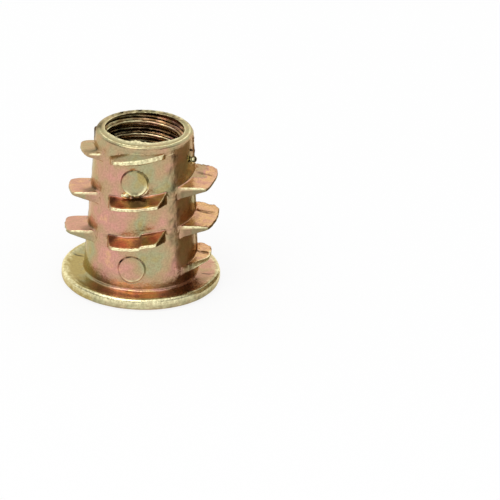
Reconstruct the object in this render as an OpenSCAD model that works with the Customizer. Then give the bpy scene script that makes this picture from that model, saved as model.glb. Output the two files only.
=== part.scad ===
// Threaded insert for wood: a die-cast sleeve with a flange, driven by a hex key.
// A coarse right-handed thread of separate fins bites into the wood outside. A hex
// socket opens at the flange, and the bore for a machine thread at the other end.
// Z runs up along the bore, and the origin is the centre of the flange's face.

/* [Sleeve] */
// Height from the flange's face to the open end
total_h = 15; // [14.5:0.1:17]
// Diameter that the tapered barrel would have at the flange's face
barrel_base_d = 10.7; // [10.4:0.05:11.4]
// Diameter of the barrel at the open end
barrel_tip_d = 8.9; // [8.6:0.05:9.6]
// Radius of the rounded outer edge at the open end
tip_edge_r = 0.35; // [0.1:0.05:0.5]
// Radius of the fillet between barrel and flange
base_fillet_r = 0.45; // [0.1:0.05:0.7]

/* [Flange] */
// Outer diameter of the flange
flange_d = 14.7; // [14:0.1:18]
// Thickness of the flange at its rim
flange_t = 1.1; // [0.9:0.05:1.6]
// Radius of the rounded edges of the rim
flange_edge_r = 0.35; // [0.1:0.05:0.4]
// Width of the raised land round the rim's upper side, with the rounded edge
land_w = 0.6; // [0.45:0.05:0.8]
// Depth of the shallow dish between that land and the barrel
dish_depth = 0.14; // [0.05:0.01:0.3]

/* [Outer thread] */
// Outer diameter of the fins
thread_d = 14.2; // [13:0.1:16]
// Rise of the thread in one turn
thread_pitch = 3.86; // [3:0.02:4.6]
// Angle by which a fin's upper flank falls away from the barrel
upper_flank_a = 4; // [0:0.5:8]
// Angle by which its lower flank rises towards the crest
lower_flank_a = 20; // [12:0.5:24]
// Height of the land at a fin's crest
fin_crest_t = 0.18; // [0.12:0.01:0.4]
// Distance from the open end down to the top of the highest fin at the barrel
top_fin_drop = 0.92; // [0.8:0.02:2]
// Least height of the lowest fin's top above the flange
low_fin_gap = 2; // [1.6:0.1:3]

/* [Fins in plan] */
// Width of a front or back fin at the barrel
main_root_w = 5.3; // [4:0.1:6]
// Width of a front or back fin at its crest
main_crest_w = 4.2; // [3:0.1:5]
// How far a side fin reaches to the front of the mould's parting plane
side_front_w = 3.15; // [2:0.05:3.3]
// How far a side fin reaches to the back of that plane
side_back_w = 1.2; // [0.8:0.1:2.2]
// Draft of each end of a side fin, from barrel to crest
side_draft = 0.2; // [0.05:0.05:0.6]
// Radius of a fin's corners towards the mould's pull
front_corner_r = 0.6; // [0.1:0.05:0.8]
// Radius of a side fin's corner at its back end
back_corner_r = 1.2; // [0.1:0.05:1.3]

/* [Run-out] */
// Thread diameter at the lowest fin, where the thread runs out
runout_d = 13; // [12:0.1:14]
// How far that fin sits below the thread's helix
runout_sink = 0.3; // [0:0.05:0.5]
// How far it reaches to the front at the barrel
runout_root_w = 3.5; // [2.6:0.1:4]
// How far it reaches to the front at its crest
runout_crest_w = 0.5; // [0.2:0.1:2]

/* [Lead-in] */
// Distance below the open end at which the thread starts to narrow
taper_drop = 8; // [5:0.1:9]
// Distance below the open end of the shoulder where the nose begins
shoulder_drop = 4; // [3.2:0.1:4.8]
// Thread diameter at that shoulder
shoulder_d = 13.6; // [12.6:0.1:13.9]
// Distance below the open end of the thread's highest point
nose_drop = 0.6; // [0.4:0.05:1]
// Thread diameter at that point
nose_d = 10.4; // [9.6:0.1:11.2]
// Shift of the highest fin's crest sideways, which sinks it into the barrel
fade_shift = 1.2; // [0.6:0.1:1.6]

/* [Drive socket] */
// Width of the hex socket across its flats
hex_af = 8; // [7.8:0.05:8.3]
// Depth of the hex socket from the flange's face
hex_depth = 7; // [5:0.1:8]

/* [Bore] */
// Diameter of the machine thread's bore
bore_d = 6.75; // [5:0.05:6.9]
// Chamfer of the bore at the open end
mouth_chamfer = 0.35; // [0.1:0.05:0.6]
// Chamfer of the bore where the hex socket meets it
throat_chamfer = 0.4; // [0.1:0.05:0.45]

/* [Ejector marks] */
// Diameter of the round marks that the mould's pins leave
mark_d = 2.6; // [1.5:0.1:3]
// Height of the lower mark's centre
mark_low_z = 3.2; // [2.8:0.1:4]
// Distance from the open end down to the upper mark's centre
mark_high_drop = 3.3; // [3:0.1:4]
// How far a mark's face stands out of the barrel
mark_proud = 0.06; // [0.02:0.01:0.2]
// Turn of the marks off the front fins' centre line, in degrees
mark_turn = -3; // [-10:0.5:10]

/* [Hidden] */
cast_color = "darkkhaki";
$fn = 96;
// Overlap by which a cut runs past what it cuts
eps = 0.01;
// Straight steps in a rounded edge
edge_steps = 6;
front = -90;
fins_per_turn = 4;

thread_r = thread_d / 2;
// The fins' blanks start inside the barrel's wall and end outside the thread
wall_bite = 0.6;
blank_in_r = barrel_tip_d / 2 - wall_bite;
blank_out_r = thread_r + wall_bite;
fin_step = thread_pitch / fins_per_turn;
top_fin_z = total_h - top_fin_drop;
fin_count = 1 + floor((top_fin_z - flange_t - low_fin_gap) / fin_step);
low_fin_z = top_fin_z - (fin_count - 1) * fin_step;
thread_slope = atan(thread_pitch / (PI * (barrel_r(total_h / 2) + thread_r)));

// Radius of the barrel's skin at height z
function barrel_r(z) = (barrel_base_d + (barrel_tip_d - barrel_base_d) * z / total_h) / 2;

// The thread's envelope from the flange up, as heights and radii
envelope = [
    [0, runout_d / 2],
    [low_fin_z, runout_d / 2],
    [low_fin_z + fin_step / 2, thread_r],
    [total_h - taper_drop, thread_r],
    [total_h - shoulder_drop, shoulder_d / 2],
    [total_h - nose_drop, nose_d / 2]
];

// Points on an arc of radius r about c, from angle a0 to angle a1
function arc(c, r, a0, a1) =
    [for (i = [0:edge_steps]) let (a = a0 + (a1 - a0) * i / edge_steps) c + r * [cos(a), sin(a)]];

// Direction of a vector in plan
function angle_of(v) = atan2(v.y, v.x);

// Point on a circle of radius r in plan, at the distance y from the centre line
function on_circle(r, y) = [sqrt(r * r - y * y), y];

// A fin's end, as its reach from the centre line at the barrel and at the crest,
// and the radius of its corner
main_end = [main_root_w / 2, main_crest_w / 2, front_corner_r];
side_front_end = [side_front_w, side_front_w - side_draft, front_corner_r];
side_back_end = [side_back_w, side_back_w - side_draft, back_corner_r];
runout_end = [runout_root_w, runout_crest_w, front_corner_r];

// Outline of such an end: along its face and round the corner, out past the crest
function end_outline(end, skin_r, crest_r) =
    let (
        start = on_circle(skin_r, end[0]),
        face = on_circle(thread_r, end[1]) - start,
        u = face / norm(face),
        inward = [u.y, -u.x],
        corner_r = end[2],
        a = start + corner_r * inward,
        // the corner's centre lies on a circle just inside the crest
        centre_r = crest_r - 0.85 * corner_r,
        t = sqrt(pow(a * u, 2) - a * a + pow(centre_r, 2)) - a * u,
        c = a + t * u
    )
    concat(
        [start / 2, start],
        arc(c, corner_r, angle_of(-inward), angle_of(c)),
        [blank_out_r * c / norm(c)]
    );

// The same points for the other end, mirrored and in the other order
function mirrored(points) =
    [for (i = [len(points) - 1:-1:0]) [points[i].x, -points[i].y]];

// Height of a fin's upper flank at radius r, from where it leaves the barrel
function flank_top(r, skin_r) = (skin_r - r) * tan(upper_flank_a);

// Section of a fin: the land at its crest, with a flank above and one below
function fin_section(skin_r, crest_r) =
    let (
        far_r = blank_out_r + wall_bite,
        land_z = flank_top(crest_r, skin_r) - fin_crest_t
    )
    [
        [blank_in_r, land_z - (crest_r - blank_in_r) * tan(lower_flank_a)],
        [crest_r, land_z],
        [far_r, flank_top(far_r, skin_r) - fin_crest_t],
        [far_r, flank_top(far_r, skin_r)],
        [blank_in_r, flank_top(blank_in_r, skin_r)]
    ];

// Barrel and flange, turned from one profile
module sleeve() {
    rim_r = flange_d / 2;
    dish_z = flange_t - dish_depth;
    skin_r = barrel_r(dish_z + base_fillet_r);
    rotate_extrude()
        polygon(concat(
            [[0, 0]],
            arc([rim_r - flange_edge_r, flange_edge_r], flange_edge_r, -90, 0),
            arc([rim_r - flange_edge_r, flange_t - flange_edge_r], flange_edge_r, 0, 90),
            [[rim_r - land_w, flange_t], [rim_r - land_w - dish_depth, dish_z]],
            arc([skin_r + base_fillet_r, dish_z + base_fillet_r], base_fillet_r, 270, 180),
            arc([barrel_r(total_h) - tip_edge_r, total_h - tip_edge_r], tip_edge_r, 0, 90),
            [[0, total_h]]
        ));
}

// A fin that points along +X before it is turned: a ring of the thread's section,
// tilted to the thread's slope, and cut by the plan of its lower and its upper end
module fin_blank(z, low_end, high_end, fades = false) {
    skin_r = barrel_r(z);
    crest_r = lookup(z - fin_crest_t, envelope);
    section_r = fades ? lookup(z - fin_step, envelope) : crest_r;
    intersection() {
        translate([0, 0, z])
            rotate([thread_slope, 0, 0])
                rotate_extrude()
                    polygon(fin_section(skin_r, section_r));
        translate([0, 0, z - thread_pitch])
            linear_extrude(2 * thread_pitch)
                intersection() {
                    polygon(concat(
                        end_outline(high_end, skin_r, crest_r),
                        mirrored(end_outline(low_end, skin_r, crest_r))
                    ));
                    translate([0, fades ? -fade_shift : 0])
                        circle(fades ? crest_r : 2 * thread_r);
                }
    }
}

// Fins down the thread, a quarter turn apart, from the highest one at the front
module fins() {
    for (i = [0:fin_count - 1]) {
        last = i == fin_count - 1;
        z = top_fin_z - i * fin_step - (last ? runout_sink : 0);
        side = i % fins_per_turn;
        rotate([0, 0, front - 90 * i])
            if (side == 1)
                fin_blank(z, side_back_end, side_front_end);
            else if (side == 3)
                fin_blank(z, last ? runout_end : side_front_end, side_back_end);
            else
                fin_blank(z, main_end, main_end, fades = i == 0);
    }
}

// Trims the fins to the thread's outer diameter and to its lead-in
module thread_envelope() {
    top = envelope[len(envelope) - 1];
    rotate_extrude()
        polygon(concat([[0, 0]], [for (p = envelope) [p[1], p[0]]], [[0, top[0]]]));
}

module outer_thread() {
    intersection() {
        fins();
        thread_envelope();
    }
}

// A flat round pad on the front, where a pin pushed the casting out of its mould
module ejector_mark(z) {
    rotate([0, 0, front + mark_turn])
        translate([0, 0, z])
            rotate([0, 90, 0])
                translate([0, 0, barrel_r(z) - wall_bite])
                    cylinder(d = mark_d, h = wall_bite + mark_proud);
}

// Hex socket, open at the flange's face
module drive_socket() {
    translate([0, 0, -eps])
        cylinder(d = hex_af / cos(30), h = hex_depth + eps, $fn = 6);
}

// Bore for the machine thread, chamfered at both ends
module threaded_bore() {
    throat_d = bore_d + 2 * throat_chamfer;
    mouth_d = bore_d + 2 * mouth_chamfer;
    translate([0, 0, hex_depth - eps])
        cylinder(d = bore_d, h = total_h - hex_depth + 2 * eps);
    translate([0, 0, hex_depth])
        cylinder(d1 = throat_d, d2 = bore_d, h = throat_chamfer);
    translate([0, 0, total_h - mouth_chamfer])
        cylinder(d1 = bore_d, d2 = mouth_d, h = mouth_chamfer);
}

// The whole casting
module threaded_insert() {
    color(cast_color)
        difference() {
            union() {
                sleeve();
                outer_thread();
                ejector_mark(mark_low_z);
                ejector_mark(total_h - mark_high_drop);
            }
            drive_socket();
            threaded_bore();
        }
}

threaded_insert();
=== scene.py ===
"""Die-cast threaded insert for wood: geometry, finish, light and camera.

The part is one casting. Its outside is a strip of rows that is rolled up the thread,
so that every row settles either on a fin or on the barrel's skin. The ends of that
strip are extruded on into the rim, the bore, the flange and the hex socket. Sizes
are in millimetres until a finished mesh is scaled to metres.

Turns are angles round the bore: 0 faces the front (-Y), 90 degrees the right (+X).
"""

import logging
import math
from collections.abc import Callable, Sequence
from dataclasses import dataclass, field, replace
from enum import Enum, auto
from typing import ClassVar

import bmesh
import bpy
from mathutils import Matrix, Vector, noise


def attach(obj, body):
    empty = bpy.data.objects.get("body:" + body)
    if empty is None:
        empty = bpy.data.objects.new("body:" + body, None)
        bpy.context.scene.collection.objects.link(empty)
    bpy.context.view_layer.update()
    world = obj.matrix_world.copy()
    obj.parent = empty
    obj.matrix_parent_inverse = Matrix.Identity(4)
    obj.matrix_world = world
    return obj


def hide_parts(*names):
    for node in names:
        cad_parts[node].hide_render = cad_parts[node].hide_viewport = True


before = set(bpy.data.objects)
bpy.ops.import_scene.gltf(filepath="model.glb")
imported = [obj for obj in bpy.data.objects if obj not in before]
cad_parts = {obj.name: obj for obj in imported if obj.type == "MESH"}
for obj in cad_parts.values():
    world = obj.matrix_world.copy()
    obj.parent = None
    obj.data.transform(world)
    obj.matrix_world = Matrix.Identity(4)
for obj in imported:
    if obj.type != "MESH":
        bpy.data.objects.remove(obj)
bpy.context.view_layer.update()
log = logging.getLogger("threaded_insert")

MM = 0.001
Stops = Sequence[tuple[float, float]]


# --------------------------------------------------------------------------- helpers


def turned(radius: float, turn: float, z: float) -> Vector:
    """Point at a radius and a turn round the bore.

    Args:
        radius: Distance from the bore's axis.
        turn: Angle from the front, in degrees.
        z: Height.

    Returns:
        The point in the part's frame.
    """
    a = math.radians(turn)
    return Vector((radius * math.sin(a), -radius * math.cos(a), z))


def turn_of(point: Vector) -> float:
    """Turn of a point round the bore, from 0 up to 360 degrees."""
    return math.degrees(math.atan2(point.x, -point.y)) % 360.0


def ease(edge0: float, edge1: float, x: float) -> float:
    """Smooth step from 0 at edge0 to 1 at edge1."""
    t = min(max((x - edge0) / (edge1 - edge0), 0.0), 1.0)
    return t * t * (3.0 - 2.0 * t)


def soft_max(a: float, b: float, k: float) -> float:
    """The larger of two lengths, with a fillet of about k where they cross."""
    h = max(k - abs(a - b), 0.0) / k
    return max(a, b) + h * h * k * 0.25


def soft_min(a: float, b: float, k: float) -> float:
    """The smaller of two lengths, rounded by about k where they cross."""
    return -soft_max(-a, -b, k)


def bump(x: float, centre: float, width: float) -> float:
    """Bell of height 1 at the centre that fades to nothing at a width on each side."""
    t = min(abs(x - centre) / width, 1.0)
    return (1.0 - t * t) ** 2


def turn_gap(a: float, b: float) -> float:
    """Signed difference of two turns, between -180 and 180 degrees."""
    return (a - b + 180.0) % 360.0 - 180.0


@dataclass(frozen=True)
class Lump:
    """Smooth unevenness with lumps of one size."""

    size: float
    height: float = 1.0
    seed: float = 0.0

    def at(self, point: Vector) -> float:
        """Height of the lumps at a point, above or below nothing."""
        drift = Vector((self.seed, 2.7 * self.seed, -1.3 * self.seed))
        return self.height * noise.noise(point / self.size + drift)


@dataclass(frozen=True)
class Uneven:
    """A level with coarse lumps and finer ones on it."""

    level: float
    coarse: Lump
    fine: Lump

    def at(self, point: Vector) -> float:
        """Value at a point."""
        return self.level + self.coarse.at(point) + self.fine.at(point)


@dataclass(frozen=True)
class Streak:
    """Soft upright streak, strongest at a turn."""

    turn: float
    width: float
    amount: float = 1.0

    def at(self, turn: float) -> float:
        """Strength of the streak at a turn."""
        return self.amount * bump(turn_gap(turn, self.turn), 0.0, self.width)


def within(x: float, span: tuple[float, float]) -> bool:
    """Tells whether a value lies between two others."""
    return span[0] < x < span[1]


def table(z: float, stops: Stops) -> float:
    """Value read off a list of stops, straight between them.

    Args:
        z: Where to read.
        stops: Pairs of a place and its value, in rising order of place.

    Returns:
        The value there, or that of the nearest stop beyond the ends.
    """
    if z <= stops[0][0]:
        return stops[0][1]
    for (z0, v0), (z1, v1) in zip(stops, stops[1:]):
        if z <= z1:
            return v0 + (v1 - v0) * (z - z0) / (z1 - z0)
    return stops[-1][1]


# -------------------------------------------------------------------------- assembly


@dataclass(frozen=True)
class Barrel:
    """Tapered sleeve between the flange and the open end."""

    height: float = 15.0
    base_d: float = 10.7
    tip_d: float = 8.9
    foot_fillet: float = 0.3
    seam_turn: float = 87.0
    seam_step: float = 0.05
    step_width: float = 0.05
    seam_flash: float = 0.07
    flash_width: float = 0.12
    flash_growth: float = 1.2
    growth_z: tuple[float, float] = (11.5, 12.5)
    flash_tear: Uneven = Uneven(0.7, Lump(0.5, 0.5, 11.0), Lump(0.18, 0.5, 12.0))

    def radius(self, z: float) -> float:
        """Radius of the skin at a height."""
        return (self.base_d + (self.tip_d - self.base_d) * z / self.height) / 2.0

    def seam(self, point: Vector) -> float:
        """How far the mould's parting line lifts a point of the skin.

        Args:
            point: Point on or near the skin.

        Returns:
            The lift, out from the bore.
        """
        behind = turn_gap(turn_of(point), self.seam_turn)
        reach = min(abs(behind), 180.0 - abs(behind))
        arc = math.radians(reach) * self.radius(point.z)
        across = arc if behind > 0 else -arc
        step = self.seam_step * ease(-self.step_width, self.step_width, across)
        tall = self.seam_flash * (1.0 + self.flash_growth * ease(*self.growth_z, point.z))
        return step + tall * self.flash_tear.at(point) * bump(arc, 0.0, self.flash_width)


@dataclass(frozen=True)
class FinEnd:
    """End face of a fin in plan, seen from the fin's own centre line.

    The face runs from a distance beside that line at the root to another at the
    crest, and a rounded corner joins it to the crest.
    """

    root: float
    crest: float
    corner: float
    tuck: float = 0.85
    far_out: ClassVar[float] = 99.0

    def reach(self, beta: float, skin: float, crest_r: float, thread_r: float) -> float:
        """Radius of the end's outline along a ray.

        Args:
            beta: Angle of the ray from the fin's centre line, in degrees.
            skin: Radius of the barrel's skin.
            crest_r: Radius of the fin's crest.
            thread_r: Radius of the full thread.

        Returns:
            The outline's radius, or a long way out where the crest comes first.
        """
        start = Vector((math.sqrt(skin**2 - self.root**2), self.root))
        tip = Vector((math.sqrt(thread_r**2 - self.crest**2), self.crest))
        run = (tip - start).normalized()
        inward = Vector((run.y, -run.x))
        a = start + self.corner * inward
        centre_r = crest_r - self.tuck * self.corner
        along = a.dot(run)
        t = math.sqrt(max(along**2 - a.length_squared + centre_r**2, 0.0)) - along
        c = a + t * run
        b = math.radians(beta)
        ray = Vector((math.cos(b), math.sin(b)))
        touch = c - self.corner * inward
        if b <= math.atan2(c.y, c.x):
            return self.far_out
        if b < math.atan2(touch.y, touch.x):
            d = c.dot(ray)
            return d + math.sqrt(max(self.corner**2 - c.length_squared + d * d, 0.0))
        across = ray.x * run.y - ray.y * run.x
        cut = (start.x * run.y - start.y * run.x) / across if across else 0.0
        return max(cut, 0.0)


class Side(Enum):
    """Side of the casting on which a fin stands."""

    FRONT = auto()
    RIGHT = auto()
    BACK = auto()
    LEFT = auto()


@dataclass(frozen=True)
class Fin:
    """One fin of the interrupted thread."""

    turn: float
    side: Side
    low: FinEnd
    high: FinEnd
    trim: float
    sink: float
    fades: bool
    ragged: float
    broken: bool


class Row(Enum):
    """What a row of the outer strip follows."""

    LOW_FILLET = auto()
    LOW_FLANK = auto()
    LOW_EDGE = auto()
    LAND = auto()
    TOP_EDGE = auto()
    TOP_FLANK = auto()
    TOP_FILLET = auto()
    SKIN = auto()


UPPER_ROWS = (Row.TOP_EDGE, Row.TOP_FLANK, Row.TOP_FILLET)


@dataclass(frozen=True)
class Section:
    """The thread's section at one turn."""

    root_z: float
    skin: float
    low_skin: float
    rise: float
    full_rise: float
    fillet: float
    slope: float
    thick: float
    fin: Fin | None
    beta: float


@dataclass
class OuterThread:
    """Coarse right-handed thread of separate fins."""

    barrel: Barrel
    diameter: float = 14.2
    pitch: float = 3.86
    mid_root_z: float = 10.22
    upper_a: float = 4.0
    lower_a: float = 20.0
    land: float = 0.25
    fillet: float = 0.14
    edge: float = 0.08
    foot: float = 0.3
    taper_depth: float = 8.0
    taper: tuple[tuple[float, float], ...] = ((4.0, 6.8), (0.6, 5.2))
    # The fins in the mould: how many, where they stand and how their ends run.
    fin_count: int = 12
    top_turn: float = 360.0
    first_turn: float = -1080.0
    last_turn: float = 540.0
    merge: float = 0.002
    straight_end: FinEnd = FinEnd(root=2.65, crest=2.1, corner=0.6)
    fading_end: FinEnd = FinEnd(root=2.35, crest=1.8, corner=0.6)
    blunt_end: FinEnd = FinEnd(root=2.65, crest=2.2, corner=1.2)
    front_end: FinEnd = FinEnd(root=3.15, crest=2.95, corner=0.6)
    back_end: FinEnd = FinEnd(root=1.2, crest=1.0, corner=1.2)
    runout_end: FinEnd = FinEnd(root=3.5, crest=0.5, corner=0.6)
    runout_d: float = 13.0
    runout_sink: float = 0.3
    trims: ClassVar[dict[int, float]] = {1: 0.08, 5: 0.12}
    # The top fin, whose upper flank climbs into the barrel.
    fade_fillet: float = 0.04
    fade_slope: float = 0.75
    fade_land: float = 0.5
    fade_top: float = 14.4
    fade_shift: float = 1.2
    fade_span: tuple[float, float] = (-40.0, -2.0)
    thin_span: tuple[float, float] = (-10.0, 25.0)
    taper_rise: float = 0.1
    least_rise: float = 0.05
    # Faults of the casting: rough edges, a sag at the front, one broken fin.
    ragged: float = 0.045
    very_ragged: ClassVar[dict[int, float]] = {8: 0.06, 9: 0.07}
    edge_lumps: Uneven = Uneven(0.0, Lump(0.35, 1.0, 3.0), Lump(0.13, 0.6, 8.0))
    edge_round: float = 0.12
    low_lump: Lump = Lump(0.26, 0.07, 19.0)
    lump_r: float = 6.0
    broken_fin: int = 8
    break_step: float = 0.2
    break_span: tuple[float, float] = (4.4, 5.2)
    sag: float = 0.1
    sag_beta: float = -4.0
    sag_reach: float = 22.0
    # A fin that rises less than this lies flat on the skin.
    flat_rise: tuple[float, float] = (0.01, 0.12)
    # The mould's parting line over the fins of the right side.
    parting_y: float = -0.35
    parting_step: float = 0.08
    parting_half: float = 0.05
    parting_wave: Lump = Lump(0.8, 0.1, 2.0)
    parting_lumps: Uneven = Uneven(0.0, Lump(0.35, 1.0, 5.0), Lump(0.15, 0.6, 6.0))
    lumps_height: float = 0.10
    groove_depth: float = 0.07
    groove_shift: float = -0.08
    groove_width: float = 0.12
    groove_inset: float = 0.3
    # Painted shadow along the parting line's step on the right fins' upper flanks.
    parting_shadow_shift: float = -0.04
    parting_shadow_width: float = 0.08
    parting_shadow_rise: float = 0.2
    parting_shadow_level: float = 0.7
    parting_shadow_lumps: Lump = Lump(0.25, 0.5, 3.0)
    # Wear and painted highlights along the fins' edges, and painted shade on their ends and crests.
    rub_and_highlight: Uneven = Uneven(0.95, Lump(0.5, 0.3, 17.0), Lump(0.2, 0.3, 18.0))
    worn_and_lit_rise: tuple[float, float] = (0.1, 0.4)
    flank_share: float = 0.9
    low_end_share: float = 0.2
    crest_band: float = 0.25
    low_end_band: float = 0.1
    side_end_shade: float = 0.3
    side_crest: float = 0.9
    sink_share: float = 0.8
    end_shade: float = 0.75
    crest_shade: float = 0.12
    # Columns of a quarter turn: angles from a fin's centre line, and the steps there.
    main_columns: ClassVar[Stops] = ((-45.0, 1.5), (-39.0, 0.8), (-15.0, 1.5), (15.0, 0.8), (39.0, 1.5))
    left_columns: ClassVar[Stops] = ((-45.0, 1.5), (-17.0, 0.6), (-2.0, 1.5), (22.0, 0.8), (44.0, 1.0))
    right_columns: ClassVar[Stops] = ((-45.0, 1.0), (-44.0, 0.8), (-22.0, 1.5), (2.0, 0.6), (17.0, 1.5))
    rows: list[tuple[Row, float]] = field(init=False)
    fin_rows: int = field(init=False)
    fins: list[Fin] = field(init=False)
    envelope: list[tuple[float, float]] = field(init=False)

    def __post_init__(self) -> None:
        """Lays out the rows of a turn, the fins and the thread's envelope."""
        plan = (
            (Row.LOW_FILLET, 4),
            (Row.LOW_FLANK, 3),
            (Row.LOW_EDGE, 3),
            (Row.LAND, 3),
            (Row.TOP_EDGE, 3),
            (Row.TOP_FLANK, 6),
            (Row.TOP_FILLET, 4),
            (Row.SKIN, 8),
        )
        self.rows = [(kind, i / count) for kind, count in plan for i in range(count)]
        self.fin_rows = len(self.rows) - plan[-1][1]
        h = self.barrel.height
        low_z = self.root_z(self.top_turn - 90.0 * (self.fin_count - 1))
        self.envelope = [
            (low_z, self.runout_d / 2),
            (low_z + self.pitch / 8, self.diameter / 2),
            (h - self.taper_depth, self.diameter / 2),
            *((h - depth, radius) for depth, radius in self.taper),
        ]
        self.fins = [self.make_fin(i) for i in range(self.fin_count)]

    def make_fin(self, i: int) -> Fin:
        """Makes one fin.

        Args:
            i: Number of the fin, counted down from the open end.

        Returns:
            The fin.
        """
        side = (Side.FRONT, Side.LEFT, Side.BACK, Side.RIGHT)[i % 4]
        low, high = {
            Side.FRONT: (self.blunt_end, self.straight_end),
            Side.LEFT: (self.back_end, self.front_end),
            Side.BACK: (self.straight_end, self.straight_end),
            Side.RIGHT: (self.front_end, self.back_end),
        }[side]
        last = i == self.fin_count - 1
        if i == 0:
            low, high = self.straight_end, self.fading_end
        if last:
            low = self.runout_end
        return Fin(
            turn=self.top_turn - 90.0 * i,
            side=side,
            low=low,
            high=high,
            trim=self.trims.get(i, 0.0),
            sink=self.runout_sink if last else 0.0,
            fades=i == 0,
            ragged=self.very_ragged.get(i, self.ragged),
            broken=i == self.broken_fin,
        )

    def root_z(self, turn: float) -> float:
        """Height at which the upper flank leaves the barrel at a turn."""
        return self.mid_root_z + self.pitch * turn / 360.0

    def fin_at(self, turn: float) -> tuple[Fin | None, float]:
        """Finds the fin nearest to a turn.

        Args:
            turn: Turn along the thread.

        Returns:
            The fin, if there is one, and the angle from its centre line.
        """
        i = round((self.top_turn - turn) / 90.0)
        if not 0 <= i < self.fin_count:
            return None, 0.0
        return self.fins[i], turn - self.fins[i].turn

    def crest_at(self, fin: Fin, root_z: float, beta: float) -> tuple[float, float, float]:
        """Radii of a fin's crest.

        Args:
            fin: The fin.
            root_z: Height of its root.
            beta: Angle from its centre line.

        Returns:
            Radius of the crest at that angle, of the full thread there, and of the
            crest on the centre line.
        """
        if not fin.fades:
            crest = table(root_z - self.land, self.envelope) - fin.trim
            return crest, crest, crest
        full = table(root_z - self.pitch / 8, self.envelope)
        middle = table(self.root_z(fin.turn) - self.land, self.envelope)
        along = -self.fade_shift * math.sin(math.radians(beta))
        crest = along + math.sqrt(middle**2 - self.fade_shift**2 + along**2)
        return crest, full, middle

    def section(self, turn: float) -> Section:
        """Section of the thread at a turn.

        Args:
            turn: Turn along the thread, in degrees, growing towards the open end.

        Returns:
            The section with its rise above the skin, which is nothing in a gap.
        """
        fin, beta = self.fin_at(turn)
        root_z = self.root_z(turn) - (fin.sink if fin else 0.0)
        skin = self.barrel.radius(root_z)
        if fin is None:
            return Section(root_z, skin, skin, 0.0, 0.0, self.fillet, 0.0, 1.0, None, 0.0)
        if fin.broken:
            root_z += self.break_step * ease(*self.break_span, beta)
        if fin.side is Side.FRONT and not fin.fades:
            root_z -= self.sag * bump(beta, self.sag_beta, self.sag_reach)
        crest, full, middle = self.crest_at(fin, root_z, beta)
        end = fin.high if beta > 0 else fin.low
        outline = end.reach(abs(beta), skin, middle, self.diameter / 2)
        rough = fin.ragged * self.edge_lumps.at(turned(crest, turn, root_z))
        reach = soft_min(outline, crest, self.edge_round) + rough
        rise = soft_max(reach - skin, 0.0, self.foot)
        if reach - skin < -self.foot:
            rise = 0.0
        slope = math.tan(math.radians(self.upper_a))
        thick = self.land + (full - skin) * (slope + math.tan(math.radians(self.lower_a)))
        plain = Section(
            root_z=root_z,
            skin=skin,
            low_skin=self.barrel.radius(root_z - thick),
            rise=rise,
            full_rise=crest - skin,
            fillet=self.fillet,
            slope=slope,
            thick=thick,
            fin=fin,
            beta=beta,
        )
        return self.faded(plain) if fin.fades else plain

    def faded(self, s: Section) -> Section:
        """Lifts the upper flank of the top fin, so that it climbs into the barrel.

        Args:
            s: Section that the fin would have with a plain upper flank.

        Returns:
            The section with the climbing flank.
        """
        room = self.fade_top - s.root_z
        lift = max(min(self.fade_slope * s.rise, room) * ease(*self.fade_span, s.beta), 0.0)
        thin = self.fade_land * self.land * ease(*self.thin_span, s.beta)
        taper = s.skin - self.barrel.radius(s.root_z + lift)
        return replace(
            s,
            root_z=s.root_z + lift,
            skin=s.skin - taper,
            rise=s.rise + taper * min(s.rise / self.taper_rise, 1.0),
            fillet=self.fade_fillet,
            slope=s.slope + lift / max(s.rise, self.least_rise),
            thick=s.thick - thin + lift,
        )

    @staticmethod
    def hollow(x: float, fillet: float) -> float:
        """Height of a root fillet beside the skin.

        Args:
            x: Distance from the skin.
            fillet: Radius of the fillet.

        Returns:
            The fillet's height there, which is nothing beyond its radius.
        """
        if x >= fillet:
            return 0.0
        return fillet - math.sqrt(fillet**2 - (fillet - x) ** 2)

    def profile(self, s: Section, row: int, turn: float) -> tuple[float, float]:
        """Where a row runs on a fin's section.

        Args:
            s: The section.
            row: Number of the row within its turn.
            turn: Turn along the thread.

        Returns:
            The row's distance from the skin beside it, and its height.
        """
        kind, t = self.rows[row]
        down = math.tan(math.radians(self.lower_a))
        upper = kind in UPPER_ROWS
        h = max(s.skin + s.rise - (s.skin if upper else s.low_skin), 0.0)

        def top(x: float) -> float:
            """Height of the upper flank."""
            return s.root_z - x * s.slope + self.hollow(x, s.fillet)

        def bottom(x: float) -> float:
            """Height of the lower flank."""
            return s.root_z - s.thick + x * down - self.hollow(x, self.fillet)

        # On a thin or low fin the rounded edges shrink to just under half of it.
        e = min(self.edge, 0.45 * max(top(h) - bottom(h), 0.0), 0.5 * h)
        straight = max(h - e, 0.0)
        turn_in = min(s.fillet if upper else self.fillet, straight)
        a = t * math.pi / 2
        if kind is Row.LOW_FILLET:
            x = turn_in * (1.0 - math.cos(a))
            return x, bottom(x)
        if kind is Row.LOW_FLANK:
            x = turn_in + (straight - turn_in) * t
            return x, bottom(x)
        if kind is Row.LOW_EDGE:
            z = bottom(straight) + e * (1.0 - math.cos(a))
            z += t * self.low_lump.at(turned(self.lump_r, turn, s.root_z)) * min(h, 1.0)
            return straight + e * math.sin(a), z
        if kind is Row.LAND:
            low, high = bottom(straight) + e, top(straight) - e
            return h, low + (high - low) * t
        if kind is Row.TOP_EDGE:
            return straight + e * math.cos(a), top(straight) - e + e * math.sin(a)
        if kind is Row.TOP_FLANK:
            x = straight + (turn_in - straight) * t
            return x, top(x)
        x = turn_in * (1.0 - math.sin(a))
        return x, top(x)

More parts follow.
